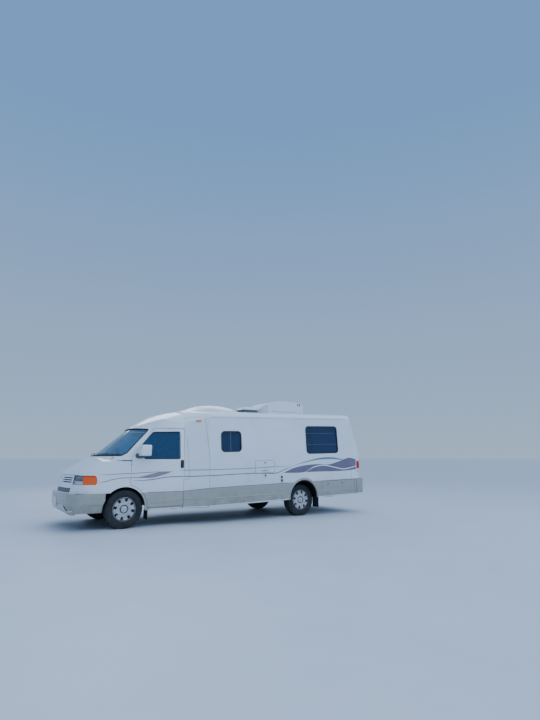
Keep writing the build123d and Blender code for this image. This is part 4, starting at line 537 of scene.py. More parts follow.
def padOn(name, cast, outline, thick, finish, body, edge=0.85):
    # a low moulding with a rounded rim; cast finds the surface under each point of its outline
    middle = sum(outline, Vector((0, 0))) / len(outline)
    rings = ((1.0, -0.0015), (1.0, thick * 0.55), ((1 + edge) / 2, thick * 0.93), (edge, thick), (0.45, thick))
    points, count = [], len(outline)
    for grow, lift in rings:
        for point in outline:
            place, normal = cast(*(middle + (point - middle) * grow))
            points.append(place + normal * lift)
    last = len(points) - count
    place, normal = cast(*middle)
    points.append(place + normal * thick)
    faces = quads(len(rings), count, around=True)
    faces.extend([last + k, last + (k + 1) % count, last + count] for k in range(count))
    return addPiece(name, points, faces, finish, body)


def turned(name, outline, finish, centre, steps):
    # a small round piece on an axis along x; outline points are (radius, along the axis)
    points = []
    for i in range(steps):
        turn = 2 * math.pi * i / steps
        points.extend(Vector(centre) + Vector((along, radius * math.cos(turn), radius * math.sin(turn)))
                      for radius, along in outline)
    return addPiece(name, points, quads(steps, len(outline), closed=True), finish, "van")


def rodAlong(name, route, radius, finish, facets=10):
    turns = [2 * math.pi * k / facets for k in range(facets + 1)]
    profile = [(radius * math.cos(turn), radius * math.sin(turn)) for turn in turns]
    stops = [(Vector(p), Vector((0.1, 0.2, 1)).normalized()) for p in route]
    return sweep(name, stops, profile, finish, "van")


def roundedBlock(name, low, high, bevel, finish="dash", body="van", tilt=0.0, taper=0.0):
    # a moulded block inside the cab between two corners (station, y, height); taper narrows its top
    build = bmesh.new()
    bmesh.ops.create_cube(build, size=1.0)
    middle = (Vector(low) + Vector(high)) / 2 + Vector((frontAxle, 0, 0))
    length, width, height = (abs(b - a) for a, b in zip(low, high))
    for vert in build.verts:
        shrink = 1 - taper * (vert.co.z + 0.5)
        vert.co = Vector((vert.co.x * length * shrink, vert.co.y * width * shrink, vert.co.z * height))
    bmesh.ops.bevel(build, geom=build.edges[:], offset=bevel, segments=4, profile=0.5, affect="EDGES")
    turn = Matrix.Rotation(math.radians(tilt), 3, "Y")
    bmesh.ops.rotate(build, verts=build.verts, cent=(0, 0, 0), matrix=turn)
    points = [vert.co + middle for vert in build.verts]
    faces = [[v.index for v in f.verts] for f in build.faces]
    build.free()
    return addPiece(name, points, faces, finish, body)


# Skins to lay things on: sheet metal, mouldings and glass as seen from one side
cabSkin = sideSkins("wing_{}", "cab_door_{}", "front_cap", "cab_shell", "front_panel")
coachSkin = {
    "left": skinOf("front_cap", "coach_wall_left", "skirt_left", "locker_door", "side_fittings", "coach_roof",
                   "rear_bumper", "coach_wall_rear"),
    "right": skinOf("front_cap", "coach_wall_right", "skirt_right", "entry_door", "coach_roof", "rear_bumper",
                    "coach_wall_rear"),
}


def skinAt(side, u):
    return cabSkin[side] if u > coachStart else coachSkin[side]


def stretches(side):
    # the bodies that a stripe crosses. Columns: front end, rear end, body
    rows = [(noseEnd, doorEdges[0], "van"), (doorEdges[0], doorEdges[1], f"cab_door_{side}")]
    if side == "left":
        return rows + [(doorEdges[1], tailEnd, "van")]
    return rows + [(doorEdges[1], entryEdges[0], "van"), (entryEdges[0], entryEdges[1], "entry_door"),
                   (entryEdges[1], tailEnd, "van")]


# Stripes: how closely the film follows the panels, and its thickness, in metres
filmGrid = {"step": 0.02, "rows": 4, "proud": 0.0009}


def filmColumn(skin, u, high, low, sign):
    rows = filmGrid["rows"]
    spots = [onSide(skin, u, low + (high - low) * k / rows, sign) for k in range(rows + 1)]
    return [place + normal * filmGrid["proud"] for place, normal in spots] if all(spots) else None


def filmBand(name, top, bottom, finish):
    # cut film between two drawn lines (mm), laid on each panel that it crosses
    start = min(max(u for u, z in top), max(u for u, z in bottom)) / 1000
    end = max(min(u for u, z in top), min(u for u, z in bottom)) / 1000
    for side, sign in sides:
        for index, (front, back, body) in enumerate(stretches(side)):
            first = min(start, front - (seamGap if front < noseEnd else 0))
            last = max(end, back + seamGap)
            if first - last < 0.01:
                continue
            count = max(2, math.ceil((first - last) / filmGrid["step"]) + 1)
            columns = []
            for i in range(count):
                u = first + (last - first) * i / (count - 1)
                high, low = curveAt(top, u * 1000) / 1000, curveAt(bottom, u * 1000) / 1000
                columns.append(filmColumn(skinAt(side, u), u, high, low, sign))
            points, faces = [], []
            for one, two in zip(columns, columns[1:]):
                if one and two:
                    faces += quads(2, filmGrid["rows"] + 1, len(points))
                    points += one + two
            if faces:
                addPiece(f"{name}_{side}_{index}", points, faces, finish, body)


def line(points, width):
    # the two edges of a line of that width in mm, drawn out to a point at both ends
    last = len(points) - 1
    halves = [width / 2 * (0.25 if i in (0, last) else 1) for i in range(last + 1)]
    return [[(u, z + way * h) for (u, z), h in zip(points, halves)] for way in (1, -1)]


# Stripes, drawn from the photograph: station ahead of the front axle and height, in mm
stripes = {
    "cabUpper": [(478, 905), (129, 917), (-157, 925), (-435, 938), (-831, 946)],
    "cabLower": [(476, 779), (346, 796), (245, 824), (107, 845), (1, 850), (-198, 851), (-461, 843)],
    "swooshTop": [(-199, 855), (-364, 890), (-590, 938), (-836, 948)],
    "swooshBottom": [(-199, 850), (-461, 842), (-631, 879), (-727, 905), (-836, 947)],
    "beltLower": [(-107, 795), (-438, 808), (-705, 844), (-901, 853), (-1144, 853), (-1581, 864), (-2473, 890),
                  (-2919, 880), (-3027, 894), (-3192, 952), (-3388, 1013)],
    "beltUpper": [(-969, 964), (-1110, 965), (-1545, 971), (-2472, 989), (-2973, 1014), (-3332, 1020)],
    "lineWidth": 13,
    "beltWidth": 15,
}
waves = {
    "tealTop": [(-3364, 1015), (-3652, 1091), (-3980, 1167), (-4225, 1198), (-4476, 1203), (-4796, 1156)],
    "tealBottom": [(-3364, 1013), (-3652, 1076), (-3980, 1138), (-4225, 1158), (-4476, 1160), (-4796, 1144)],
    "plumTop": [(-3167, 890), (-3420, 979), (-3709, 1033), (-4037, 1056), (-4376, 1050), (-4665, 1118),
                (-4963, 1192), (-5170, 1150)],
    "plumBottom": [(-3167, 886), (-3707, 897), (-3946, 1004), (-4220, 1042), (-4501, 1002), (-4788, 960),
                   (-5170, 1021)],
    "lowTop": [(-3745, 899), (-3946, 984), (-4220, 1021), (-4501, 980), (-4788, 938), (-5170, 998)],
    "lowBottom": [(-3745, 893), (-4064, 899), (-4787, 908), (-5170, 940)],
}


def layStripes():
    filmBand("pinstripe_cab_upper", *line(stripes["cabUpper"], stripes["lineWidth"]), "mauve")
    filmBand("pinstripe_cab_lower", *line(stripes["cabLower"], stripes["lineWidth"]), "mauve")
    filmBand("swoosh_cab", stripes["swooshTop"], stripes["swooshBottom"], "mauve")
    filmBand("belt_line_lower", *line(stripes["beltLower"], stripes["beltWidth"]), "slate")
    filmBand("belt_line_upper", *line(stripes["beltUpper"], stripes["lineWidth"]), "mauve")
    filmBand("wave_teal", waves["tealTop"], waves["tealBottom"], "teal")
    filmBand("wave_plum", waves["plumTop"], waves["plumBottom"], "plum")
    filmBand("wave_low", waves["lowTop"], waves["lowBottom"], "plum")


layStripes()
print("stripes laid")

# Body lines: crease, top edge of the lower band, a pale strip along its bottom edge as a painted highlight,
# gutter and drip rail
tailSkin = sideSkins("skirt_{}", "rear_bumper")
sillSkin = sideSkins("cab_shell")
stepSkin = {"left": skinOf("skirt_left")}
capSkin = sideSkins("front_cap", "cab_shell")
lineKinds = {
    # width and height of the section in metres, finish, slot
    "crease": ((0.016, 0.005), "silver", "lower_paint"),
    "edge": ((0.006, 0.0012), "rubber", "trim_black"),
    # pale strip painted as the highlight on the bottom edge of the lower band
    "lip": ((0.018, 0.003), "whiteAbs", "lower_paint"),
    "gutter": ((0.012, 0.007), "whiteAbs", "body_paint"),
    "drip": ((0.012, 0.007), "enamel", "body_paint"),
}
bodyLines = (
    # kind, rest of the name, skins, body, route of (station, height) in mm
    ("crease", "cab", cabSkin, "cab_door_{}", [(-440, 403), (-700, 424), (-1050, 450)]),
    ("crease", "flare", cabSkin, "van", [(-1064, 449), (-1500, 453)]),
    ("crease", "coach", coachSkin, "van", [(-1512, 452), (-3300, 477)]),
    ("crease", "tail", tailSkin, "van", [(-4066, 499), (-5150, 516)]),
    ("edge", "cab", cabSkin, "cab_door_{}", [(-395, 592), (-1050, 592)]),
    ("edge", "flare", cabSkin, "van", [(-1064, 593), (-1500, 636)]),
    ("edge", "coach", coachSkin, "van", [(-1512, 638), (-3290, 688)]),
    # pale strips along the bottom edge of the lower band: painted highlight
    ("lip", "cab", sillSkin, "van", [(-440, 302), (-1050, 302)]),
    ("lip", "flare", cabSkin, "van", [(-1064, 303), (-1500, 310)]),
    ("lip", "step", stepSkin, "van", [(-1512, 311), (-2170, 329)]),
    ("lip", "coach", coachSkin, "van", [(-2180, 330), (-3290, 361)]),
    ("lip", "tail", coachSkin, "van", [(-4070, 380), (-5150, 410)]),
    ("gutter", "rail", coachSkin, "van", [(-1510, 1950), (-4900, 2044)]),
    ("drip", "rail", capSkin, "van", [(-392, 1694), (-520, 1737), (-1072, 1745), (-1084, 1700), (-1096, 1200)]),
)
for kind, part, skins, body, route in bodyLines:
    for side, skin in skins.items():
        spots = sideSpots(skin, route, dict(sides)[side], step=60)
        moulding(f"{kind}_{part}_{side}", spots, *lineKinds[kind], body.format(side))
print("body lines set")

# Cab doors: window seal, handle, lining and arm rest
doorTrim = {
    # outlines and handle in mm; a plate or grip is station, height, length, height, corner radius
    "windowEdge": [(-976, 1174), (-306, 1174), (-239, 1389), (-458, 1648), (-976, 1668)],
    "windowCorner": 0.03,
    "seal": (0.018, 0.004),
    "plate": (-1020, 1077, 62, 146, 20),
    "grip": (-1012, 1083, 30, 116, 14),
    "lining": [(-1030, 470), (-470, 470), (-380, 640), (-150, 800), (-150, 1130), (-1030, 1130)],
    "liningCorner": 0.05,
    "armRest": ((-0.90, 0.775, 0.80), (-0.52, 0.862, 0.86)),
}


def doorPieces(side, sign):
    body = f"cab_door_{side}"
    skin = skinOf(body)
    onDoor = castOn(skin, sign)
    edge = spread(roundedLoop(mm(doorTrim["windowEdge"]), doorTrim["windowCorner"]), 0.04)
    moulding(f"window_seal_{side}", [onDoor(u, z) for u, z in edge], doorTrim["seal"], "rubber", "trim_black",
             body, closed=True)
    plate, grip = boxOutline(*doorTrim["plate"]), boxOutline(*doorTrim["grip"])
    padOn(f"handle_plate_{side}", onDoor, spread(plate, 0.012), 0.006, "blackAbs", body)
    padOn(f"handle_grip_{side}", onDoor, spread(grip, 0.01), 0.02, "blackAbs", body, 0.8)

    def onLining(u, z):
        # from the middle of the cab, where each ray meets the door's inner face
        place, normal, face, reach = skin.ray_cast(Vector((at(u), sign * 0.3, z)), Vector((0, sign, 0)))
        return place, normal if normal.y * sign < 0 else -normal

    outline = spread(roundedLoop(mm(doorTrim["lining"]), doorTrim["liningCorner"]), 0.08)
    padOn(f"door_lining_{side}", onLining, outline, 0.010, "dash", body, 0.95)
    (u0, y0, z0), (u1, y1, z1) = doorTrim["armRest"]
    roundedBlock(f"arm_rest_{side}", (u0, sign * y0, z0), (u1, sign * y1, z1), 0.018, body=body)


# Door mirrors: the glass in its bezel on the back of the head, and a foot from the door up to the head
mirror = {
    "back": -0.345, "y": (0.950, 1.155), "z": (1.222, 1.412), "bezel": 0.012, "corner": 0.03, "glass": 0.88,
    # the foot's sections: y, station, height, half length, half height
    "foot": ((0.896, -0.215, 1.222, 0.085, 0.052), (0.925, -0.222, 1.226, 0.078, 0.046),
             (0.948, -0.232, 1.232, 0.070, 0.040), (0.985, -0.245, 1.232, 0.064, 0.034)),
    "footPoints": 16,
}


def mirrorPieces(side, sign):
    body = f"cab_door_{side}"
    (inner, outer), (low, high), inset = mirror["y"], mirror["z"], mirror["bezel"]
    edge = roundedLoop(rectangle(inner + inset, low + inset, outer - inset, high - inset), mirror["corner"])

    def onBack(y, z, lift=0.0):
        return Vector((at(mirror["back"]) - lift, sign * y, z)), Vector((-1, 0, 0))

    def onBezel(y, z):
        return onBack(y, z, 0.0025)

    padOn(f"mirror_bezel_{side}", onBack, edge, 0.003, "blackAbs", body, 0.9)
    middle = Vector(((inner + outer) / 2, (low + high) / 2))
    pane = [middle + (p - middle) * mirror["glass"] for p in edge]
    padOn(f"mirror_glass_{side}", onBezel, pane, 0.0015, "mirrorFace", body, 0.97)
    points, ring = [], mirror["footPoints"]
    for y, station, height, long, tall in mirror["foot"]:
        for k in range(ring):
            turn = 2 * math.pi * k / ring
            a, b = (math.copysign(abs(c) ** 0.7, c) for c in (math.cos(turn), math.sin(turn)))
            points.append((at(station + long * a), sign * y, height + tall * b))
    faces = quads(len(mirror["foot"]), ring, around=True)
    faces += [list(range(ring)), list(range(len(points) - ring, len(points)))]
    addPiece(f"mirror_foot_{side}", points, faces, "greyAbs", body)


for side, sign in sides:
    doorPieces(side, sign)
for side, sign in sides:
    mirrorPieces(side, sign)
print("doors and mirrors trimmed")

# Windscreen: seal round the opening and two parked wipers, as seen from ahead
screen = {"foot": 0.866, "head": 0.719, "footZ": 1.223, "sideZ": 1.697, "headZ": 1.728, "corner": 0.045,
          "proud": 0.012, "seal": (0.028, 0.004)}
wipers = (
    # name, pivot, ends of the blade, end of the arm, as (y, z)
    ("wiper_left", (0.16, 1.222), ((0.20, 1.246), (0.78, 1.240)), (0.50, 1.246)),
    ("wiper_right", (-0.46, 1.214), ((-0.42, 1.244), (0.14, 1.250)), (-0.14, 1.250)),
)
wiperSizes = {"rod": 0.006, "bladeLift": 0.016, "armLift": 0.024, "pivotLift": 0.012,
              "elbow": (0.022, 0, 0.012), "bow": (0.008, 0, 0.008),
              "cap": [(0, 0.020), (0.014, 0.018), (0.019, 0.010), (0.020, -0.014)]}
screenSkin = skinOf("cab_shell", "front_cap")
glassSkin = skinOf("windshield")


def screenSeal():
    topArc = [(y * screen["head"], screen["sideZ"] + (screen["headZ"] - screen["sideZ"]) * (1 - y ** 2))
              for y in (0.9, 0.54, 0.18, -0.18, -0.54, -0.9)]
    corners = [(-screen["foot"], screen["footZ"]), (screen["foot"], screen["footZ"]),
               (screen["head"], screen["sideZ"])] + topArc + [(-screen["head"], screen["sideZ"])]
    edge = spread(roundedLoop(corners, screen["corner"]), 0.05)
    moulding("screen_seal", [fromAhead(glassSkin, y, z) for y, z in edge], screen["seal"], "rubber",
             "trim_black", closed=True, sunk=-screen["proud"])


def wiper(name, pivot, blade, hold):
    def over(y, z, lift):
        place, normal = fromAhead(glassSkin, y, z)
        return place + normal * lift

    rodAlong(f"{name}_blade", [over(y, z, wiperSizes["bladeLift"]) for y, z in walk(blade, count=12)],
             wiperSizes["rod"], "rubber")
    foot, normal = fromAhead(screenSkin, *pivot) or fromAhead(glassSkin, *pivot)
    start, end = foot + normal * wiperSizes["pivotLift"], over(*hold, wiperSizes["armLift"])
    elbow = start.lerp(end, 0.45) + Vector(wiperSizes["elbow"])
    arm = [start, start.lerp(elbow, 0.5) + Vector(wiperSizes["bow"]), elbow, elbow.lerp(end, 0.5), end]
    rodAlong(f"{name}_arm", arm, wiperSizes["rod"], "blackAbs")
    turned(f"{name}_pivot", wiperSizes["cap"], "blackAbs", foot, 24)


screenSeal()
for row in wipers:
    wiper(*row)
print("windscreen dressed")

# Headlamps: thin lens over two bowls, divided below the lamp's middle, the lower bowl white as a painted
# highlight and the upper one darker as painted shade, and a black inner edge
lamp = {"inner": 0.603, "split": 0.6885, "low": 0.7435, "high": 0.8935, "divider": 0.812, "gap": 0.004,
        "depth": 0.042, "rim": 0.006, "lens": 0.003, "columns": 26, "rows": 18, "bowlRows": 8,
        "dividerSection": (0.012, 0.003), "edgeSection": (0.026, 0.003), "edgeIn": 0.016, "edgeSunk": 0.004,
        "edgeShort": 0.006}
lampSkin = skinOf("headlamps")


def lampSheet(sign, z0, z1, rows, depth, edgeDepth):
    # grid over the lamp's face, pushed in by depth in the middle and edgeDepth at the rim
    places, columns = [], lamp["columns"]
    for j in range(rows + 1):
        z = z0 + (z1 - z0) * j / rows
        rim, normal = onSide(lampSkin, lamp["split"], z, sign)
        for i in range(columns + 1):
            y = lamp["inner"] + (abs(rim.y) - lamp["inner"]) * i / columns
            spot = fromAhead(lampSkin, sign * y, z) or (rim, normal)
            dish = math.sqrt(max(0.0, math.sin(math.pi * i / columns) * math.sin(math.pi * j / rows)))
            places.append(spot[0] - spot[1] * (edgeDepth + (depth - edgeDepth) * dish))
    return places, quads(rows + 1, columns + 1)


def headlampPieces(side, sign):
    low, high, middle = lamp["low"], lamp["high"], lamp["divider"]
    rows, stride = lamp["rows"], lamp["columns"] + 1
    outer, faces = lampSheet(sign, low, high, rows, 0.0, 0.0)
    inner, innerFaces = lampSheet(sign, low, high, rows, lamp["lens"], lamp["lens"])
    shift = len(outer)
    border = (list(range(stride)) + [j * stride + stride - 1 for j in range(1, rows + 1)]
              + [rows * stride + i for i in range(stride - 2, -1, -1)]
              + [j * stride for j in range(rows - 1, 0, -1)])
    faces += [[shift + k for k in reversed(face)] for face in innerFaces]
    faces += [[a, b, shift + b, shift + a] for a, b in zip(border, border[1:] + border[:1])]
    lens = addPiece(f"headlamp_lens_{side}", outer + inner, faces, "clearLens", "van")
    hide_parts("headlamps")
    # the lower bowl is white as a painted highlight, the upper one darker as painted shade
    for part, z0, z1, finish in (("lower", low, middle - lamp["gap"], "litLampBowl"),
                                 ("upper", middle + lamp["gap"], high, "shadedLampBowl")):
        places, faces = lampSheet(sign, z0, z1, lamp["bowlRows"], lamp["depth"], lamp["rim"])
        bowl = addPiece(f"headlamp_bowl_{part}_{side}", places, faces, finish, "van")
        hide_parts("headlamps")
    rim, normal = onSide(lampSkin, lamp["split"], middle, sign)
    level = walk([(lamp["inner"], middle), (abs(rim.y), middle)], count=12)
    moulding(f"headlamp_divider_{side}", [fromAhead(lampSkin, sign * y, z) for y, z in level],
             lamp["dividerSection"], "greyAbs", "lamp_clear", sunk=lamp["rim"])
    y = lamp["inner"] + lamp["edgeIn"]
    upright = walk([(y, low + lamp["edgeShort"]), (y, high - lamp["edgeShort"])], count=8)
    moulding(f"headlamp_edge_{side}", [fromAhead(lampSkin, sign * y, z) for y, z in upright],
             lamp["edgeSection"], "blackAbs", "lamp_clear", sunk=lamp["edgeSunk"])


for side, sign in sides:
    headlampPieces(side, sign)
print("headlamps made")

# Number plate on the front bumper: rolled rim and two screws, face left blank
plateLow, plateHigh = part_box("front_plate")
plateTrim = {"inset": 0.004, "corner": 0.012, "rim": (0.006, 0.002), "rimBack": 0.0022, "screwBack": 0.002,
             "screwY": 0.089, "screwZ": 0.505,
             "screw": [(0, 0.0018), (0.004, 0.0016), (0.0058, 0.0006), (0.006, -0.002)]}


def platePieces():
    inset, x = plateTrim["inset"], plateHigh.x
    corners = rectangle(inset - plateHigh.y, plateLow.z + inset, plateHigh.y - inset, plateHigh.z - inset)
    rim = [(Vector((x - plateTrim["rimBack"], y, z)), Vector((1, 0, 0)))
           for y, z in spread(roundedLoop(corners, plateTrim["corner"]), 0.05)]
    moulding("plate_rim", rim, plateTrim["rim"], "zinc", "plate_blank", closed=True)
    for side, sign in sides:
        turned(f"plate_screw_{side}", plateTrim["screw"], "zinc",
               (x - plateTrim["screwBack"], sign * plateTrim["screwY"], plateTrim["screwZ"]), 20)


platePieces()

# Pale strip under the duct recess in each lower corner of the bumper, a painted highlight on the recess's lower
# edge, as (y, z) seen from ahead
ductHighlight = [(0.545, 0.415), (0.563, 0.378), (0.608, 0.340), (0.700, 0.319), (0.790, 0.324), (0.852, 0.330)]
bumperSkin = skinOf("front_bumper")
for side, sign in sides:
    spots = [fromAhead(bumperSkin, sign * y, z) for y, z in walk(ductHighlight, count=4)]
    moulding(f"duct_edge_highlight_{side}", spots, (0.012, 0.005), "whiteAbs", "lower_paint")

# Seams of the coach. Columns: name, route of (station, height) and step back on the right side, in mm
seams = (
    ("seam_cap", [(-1425, 1946), (-1463, 1600), (-1507, 1195), (-1509, 900), (-1509, 645)], -2),
    ("seam_post", [(-1112, 1547), (-1130, 1250), (-1142, 1016), (-1158, 806), (-1072, 800)], 0),
    ("seam_corner", [(-5010, 1010), (-5006, 880), (-5006, 742)], 0),
    ("seam_roof", [(-1512, 1962), (-3200, 2010), (-4900, 2056)], 0),
)
for name, route, back in seams:
    for side, sign in sides:
        drawn = [(u + back, z) for u, z in route] if side == "right" else route
        spots = sideSpots(skinAt(side, route[0][0] / 1000), drawn, sign, step=50)
        moulding(f"{name}_{side}", spots, (0.005, 0.0009), "seamGrey", "body_paint")

# Bars across the coach glass. Columns: side, station and height of both ends, width, in mm
bars = (
    ("left", (-1952, 1322), (-1952, 1684), 20),
    ("left", (-3790, 1705), (-4622, 1725), 9),
    ("left", (-3790, 1466), (-4622, 1486), 9),
    ("right", (-2950, 1350), (-2950, 1712), 20),
    ("right", (-3790, 1705), (-4622, 1725), 9),
    ("right", (-3790, 1466), (-4622, 1486), 9),
)
paneSkin = skinOf("coach_glass")
for index, (side, start, end, width) in enumerate(bars):
    spots = sideSpots(paneSkin, [start, end], dict(sides)[side], count=10)
    moulding(f"window_bar_{index}", spots, (width / 1000, 0.006), "greyAbs", "trim_black")

# Locks, latches and slots of the coach. Columns: name, side, station and height of the middle, length, height,
# corner radius, how proud it stands, in mm, finish, body
smallFittings = (
    ("hatch_lock", "left", -2721, 1096, 26, 26, 12, 10, "blackAbs", "van"),
    ("hatch_pull", "left", -2721, 938, 150, 9, 4, 8.5, "seamGrey", "van"),
    ("filler_lock", "left", -2729, 846, 34, 34, 16, 13, "blackAbs", "van"),
    ("inlet_upper", "left", -3121, 806, 40, 46, 6, 8.6, "blackAbs", "van"),
    ("inlet_lower", "left", -3123, 738, 40, 56, 6, 8.6, "blackAbs", "van"),
    ("locker_latch_front", "left", -4328, 640, 16, 34, 7, 6, "blackAbs", "locker_door"),
    ("locker_latch_rear", "left", -4724, 650, 16, 34, 7, 6, "blackAbs", "locker_door"),
    ("entry_latch", "right", -2096, 1010, 60, 130, 18, 6, "blackAbs", "entry_door"),
    ("entry_grip", "right", -2088, 1014, 28, 100, 13, 18, "blackAbs", "entry_door"),
)
for name, side, u, z, length, height, radius, proud, finish, body in smallFittings:
    outline = spread(boxOutline(u, z, length, height, radius), 0.01)
    cast = castOn(coachSkin[side], dict(sides)[side])
    padOn(name, cast, outline, proud / 1000, finish, body, 0.8)

# Edge of the vent hatch: station and height of its middle, length, height, corner radius in mm, lean in degrees
hatch = (-2721, 1018, 452, 242, 42, -1.6)
hatchSpots = [onSide(coachSkin["left"], u, z, 1) for u, z in spread(boxOutline(*hatch), 0.03)]
moulding("hatch_edge", hatchSpots, (0.006, 0.001), "seamGrey", "body_paint", closed=True)

# Trunk lid: a wide pull and its lock. Columns: name, low and high corner (y, z), corner radius, gap between the
# outline's points, how proud it stands, finish, share of the outline that the flat top keeps
lidFittings = (
    ("trunk_pull", (-0.11, 0.842, 0.11, 0.892), 0.018, 0.02, 0.012, "blackAbs", 0.85),
    ("trunk_lock", (0.15, 0.852, 0.18, 0.882), 0.014, 0.006, 0.006, "zinc", 0.8),
)
lidSkin = skinOf("trunk_lid")


def onRear(y, z):
    return fromAhead(lidSkin, y, z, -1)


for name, corners, radius, gap, thick, finish, edge in lidFittings:
    padOn(name, onRear, spread(roundedLoop(rectangle(*corners), radius), gap), thick, finish,
          "trunk_lid", edge)
print("coach fittings set")

# Wheels: a pressed cover with eight rounded openings, and tyres with their tread
wheelCover = {"holes": 8, "firstHole": 0.25, "holeAt": 0.153, "holeWide": 0.054, "holeTall": 0.054,
              "narrow": 0.78, "holeCorner": 0.012, "cutter": (0.05, 0.12), "thick": 0.003, "steps": 128,
              "rim": (0.0065, 0.0022), "rimAt": 0.0852, "rimOut": 0.003}
tread = {"radius": 0.324, "steps": 168, "grooves": (-0.045, -0.016, 0.016, 0.045), "grooveWide": 0.007,
         "deep": 0.007, "crownHalf": 0.0725, "crownDrop": 0.0008, "draft": 0.0012, "shoulderCut": 0.006,
         "shoulderFrom": 0.050, "shoulderRadius": 0.3070, "ribCut": 0.0045, "ribs": (0.014, 0.046)}
# Outlines as (radius, distance along the axle): the cover's face, the dark ring in its groove, one wall of
# the tyre from the bead to the shoulder
coverFace = [(0.0, 0.0935), (0.026, 0.0932), (0.029, 0.0918), (0.032, 0.0928), (0.050, 0.0910),
             (0.0555, 0.0870), (0.0565, 0.0812), (0.0715, 0.0812), (0.0730, 0.0860), (0.0780, 0.0895),
             (0.0860, 0.0898), (0.0940, 0.0880), (0.1080, 0.0866), (0.1300, 0.0856), (0.1530, 0.0852),
             (0.1780, 0.0860), (0.1870, 0.0895), (0.1930, 0.0925), (0.1975, 0.0915), (0.1985, 0.0885)]
coverGroove = [(0.0562, 0.0806), (0.0570, 0.0826), (0.0710, 0.0826), (0.0718, 0.0806)]
tyreWall = [(0.1925, -0.080), (0.199, -0.0845), (0.204, -0.0905), (0.207, -0.0955), (0.209, -0.0968),
            (0.212, -0.0985), (0.226, -0.1010), (0.230, -0.1020), (0.246, -0.1024), (0.262, -0.1022),
            (0.266, -0.1012), (0.280, -0.0990), (0.294, -0.0955), (0.3035, -0.0920), (0.3075, -0.0900),
            (0.3160, -0.0845), (0.3205, -0.0790)]


def spun(outline, steps):
    # closed skin turned about the axle, drawn along y
    points = []
    for i in range(steps):
        turn = 2 * math.pi * i / steps
        points.extend(Vector((r * math.cos(turn), along, r * math.sin(turn))) for r, along in outline)
    return points, quads(steps, len(outline), closed=True)


def openingOutlines(grow=0.0):
    # the openings seen from outside, each wider at its outer edge, with rounded corners
    wide, tall = wheelCover["holeWide"] / 2 + grow, wheelCover["holeTall"] / 2 + grow
    narrow = wide * wheelCover["narrow"]
    loop = roundedLoop([(-narrow, -tall), (narrow, -tall), (wide, tall), (-wide, tall)],
                       wheelCover["holeCorner"] + grow)
    for h in range(wheelCover["holes"]):
        turn = 2 * math.pi * (h + wheelCover["firstHole"]) / wheelCover["holes"]
        spots = [(point.x, wheelCover["holeAt"] + point.y) for point in loop]
        yield [(out * math.cos(turn) - across * math.sin(turn), out * math.sin(turn) + across * math.cos(turn))
               for across, out in spots]


def linked(name, build):
    # an object made from a bmesh, which is freed
    mesh = bpy.data.meshes.new(name)
    build.to_mesh(mesh)
    build.free()
    made = bpy.data.objects.new(name, mesh)
    sceneLinks.link(made)
    return made


def coverMesh():
    back = [(r, along - wheelCover["thick"]) for r, along in reversed(coverFace)]
    points, faces = spun(coverFace + back, wheelCover["steps"])
    mesh = bpy.data.meshes.new("cover_blank")
    mesh.from_pydata(points, [], faces)
    build = bmesh.new()
    build.from_mesh(mesh)
    bmesh.ops.remove_doubles(build, verts=build.verts, dist=1e-6)
    bmesh.ops.recalc_face_normals(build, faces=build.faces)
    cutters = bmesh.new()
    inner, outer = wheelCover["cutter"]
    for outline in openingOutlines():
        front = [cutters.verts.new((x, outer, z)) for x, z in outline]
        rear = [cutters.verts.new((x, inner, z)) for x, z in outline]
        cutters.faces.new(front)
        cutters.faces.new(list(reversed(rear)))
        for k in range(len(outline)):
            j = (k + 1) % len(outline)
            cutters.faces.new((front[j], front[k], rear[k], rear[j]))
    bmesh.ops.recalc_face_normals(cutters, faces=cutters.faces)
    blank, cutter = linked("cover_blank", build), linked("cover_openings", cutters)
    cut = blank.modifiers.new("openings", "BOOLEAN")
    cut.operation, cut.solver, cut.object = "DIFFERENCE", "EXACT", cutter
    done = blank.evaluated_get(bpy.context.evaluated_depsgraph_get()).to_mesh()
    points, faces = [v.co.copy() for v in done.vertices], [list(p.vertices) for p in done.polygons]
    bpy.data.objects.remove(blank)
    bpy.data.objects.remove(cutter)
    return points, faces


def rolledRims():
    # raised lip round each opening
    points, faces = [], []
    profile = capsule(*wheelCover["rim"], 5)
    for outline in openingOutlines(wheelCover["rimOut"]):
        count = len(outline)
        faces += quads(count, len(profile), len(points), closed=True)
        for k, (x, z) in enumerate(outline):
            before, after = outline[k - 1], outline[(k + 1) % count]
            along = Vector((after[0] - before[0], 0, after[1] - before[1])).normalized()
            across = Vector((0, 1, 0)).cross(along)
            points.extend(Vector((x, wheelCover["rimAt"] + b, z)) + across * a for a, b in profile)
    return points, faces


def tyreOutline():
    # wall, crown and wall again; the crown's points are marked as top of a rib or low in a groove
    radius, half, draft = tread["radius"], tread["grooveWide"] / 2, tread["draft"]
    low, drop = radius - tread["deep"], radius - tread["crownDrop"]
    grooveEdges = [g + s * half for g in tread["grooves"] for s in (-1, 1)]
    edges = [-tread["crownHalf"]] + grooveEdges + [tread["crownHalf"]]
    crown = []
    for k in range(0, len(edges), 2):
        crown += [(drop, edges[k], "top"), (radius, (edges[k] + edges[k + 1]) / 2, "top"),
                  (drop, edges[k + 1], "top")]
        if k + 2 < len(edges):
            crown += [(low, edges[k + 1] + draft, "low"), (low, edges[k + 2] - draft, "low")]
    return [(r, a, "wall") for r, a in tyreWall] + crown + [(r, -a, "wall") for r, a in reversed(tyreWall)]


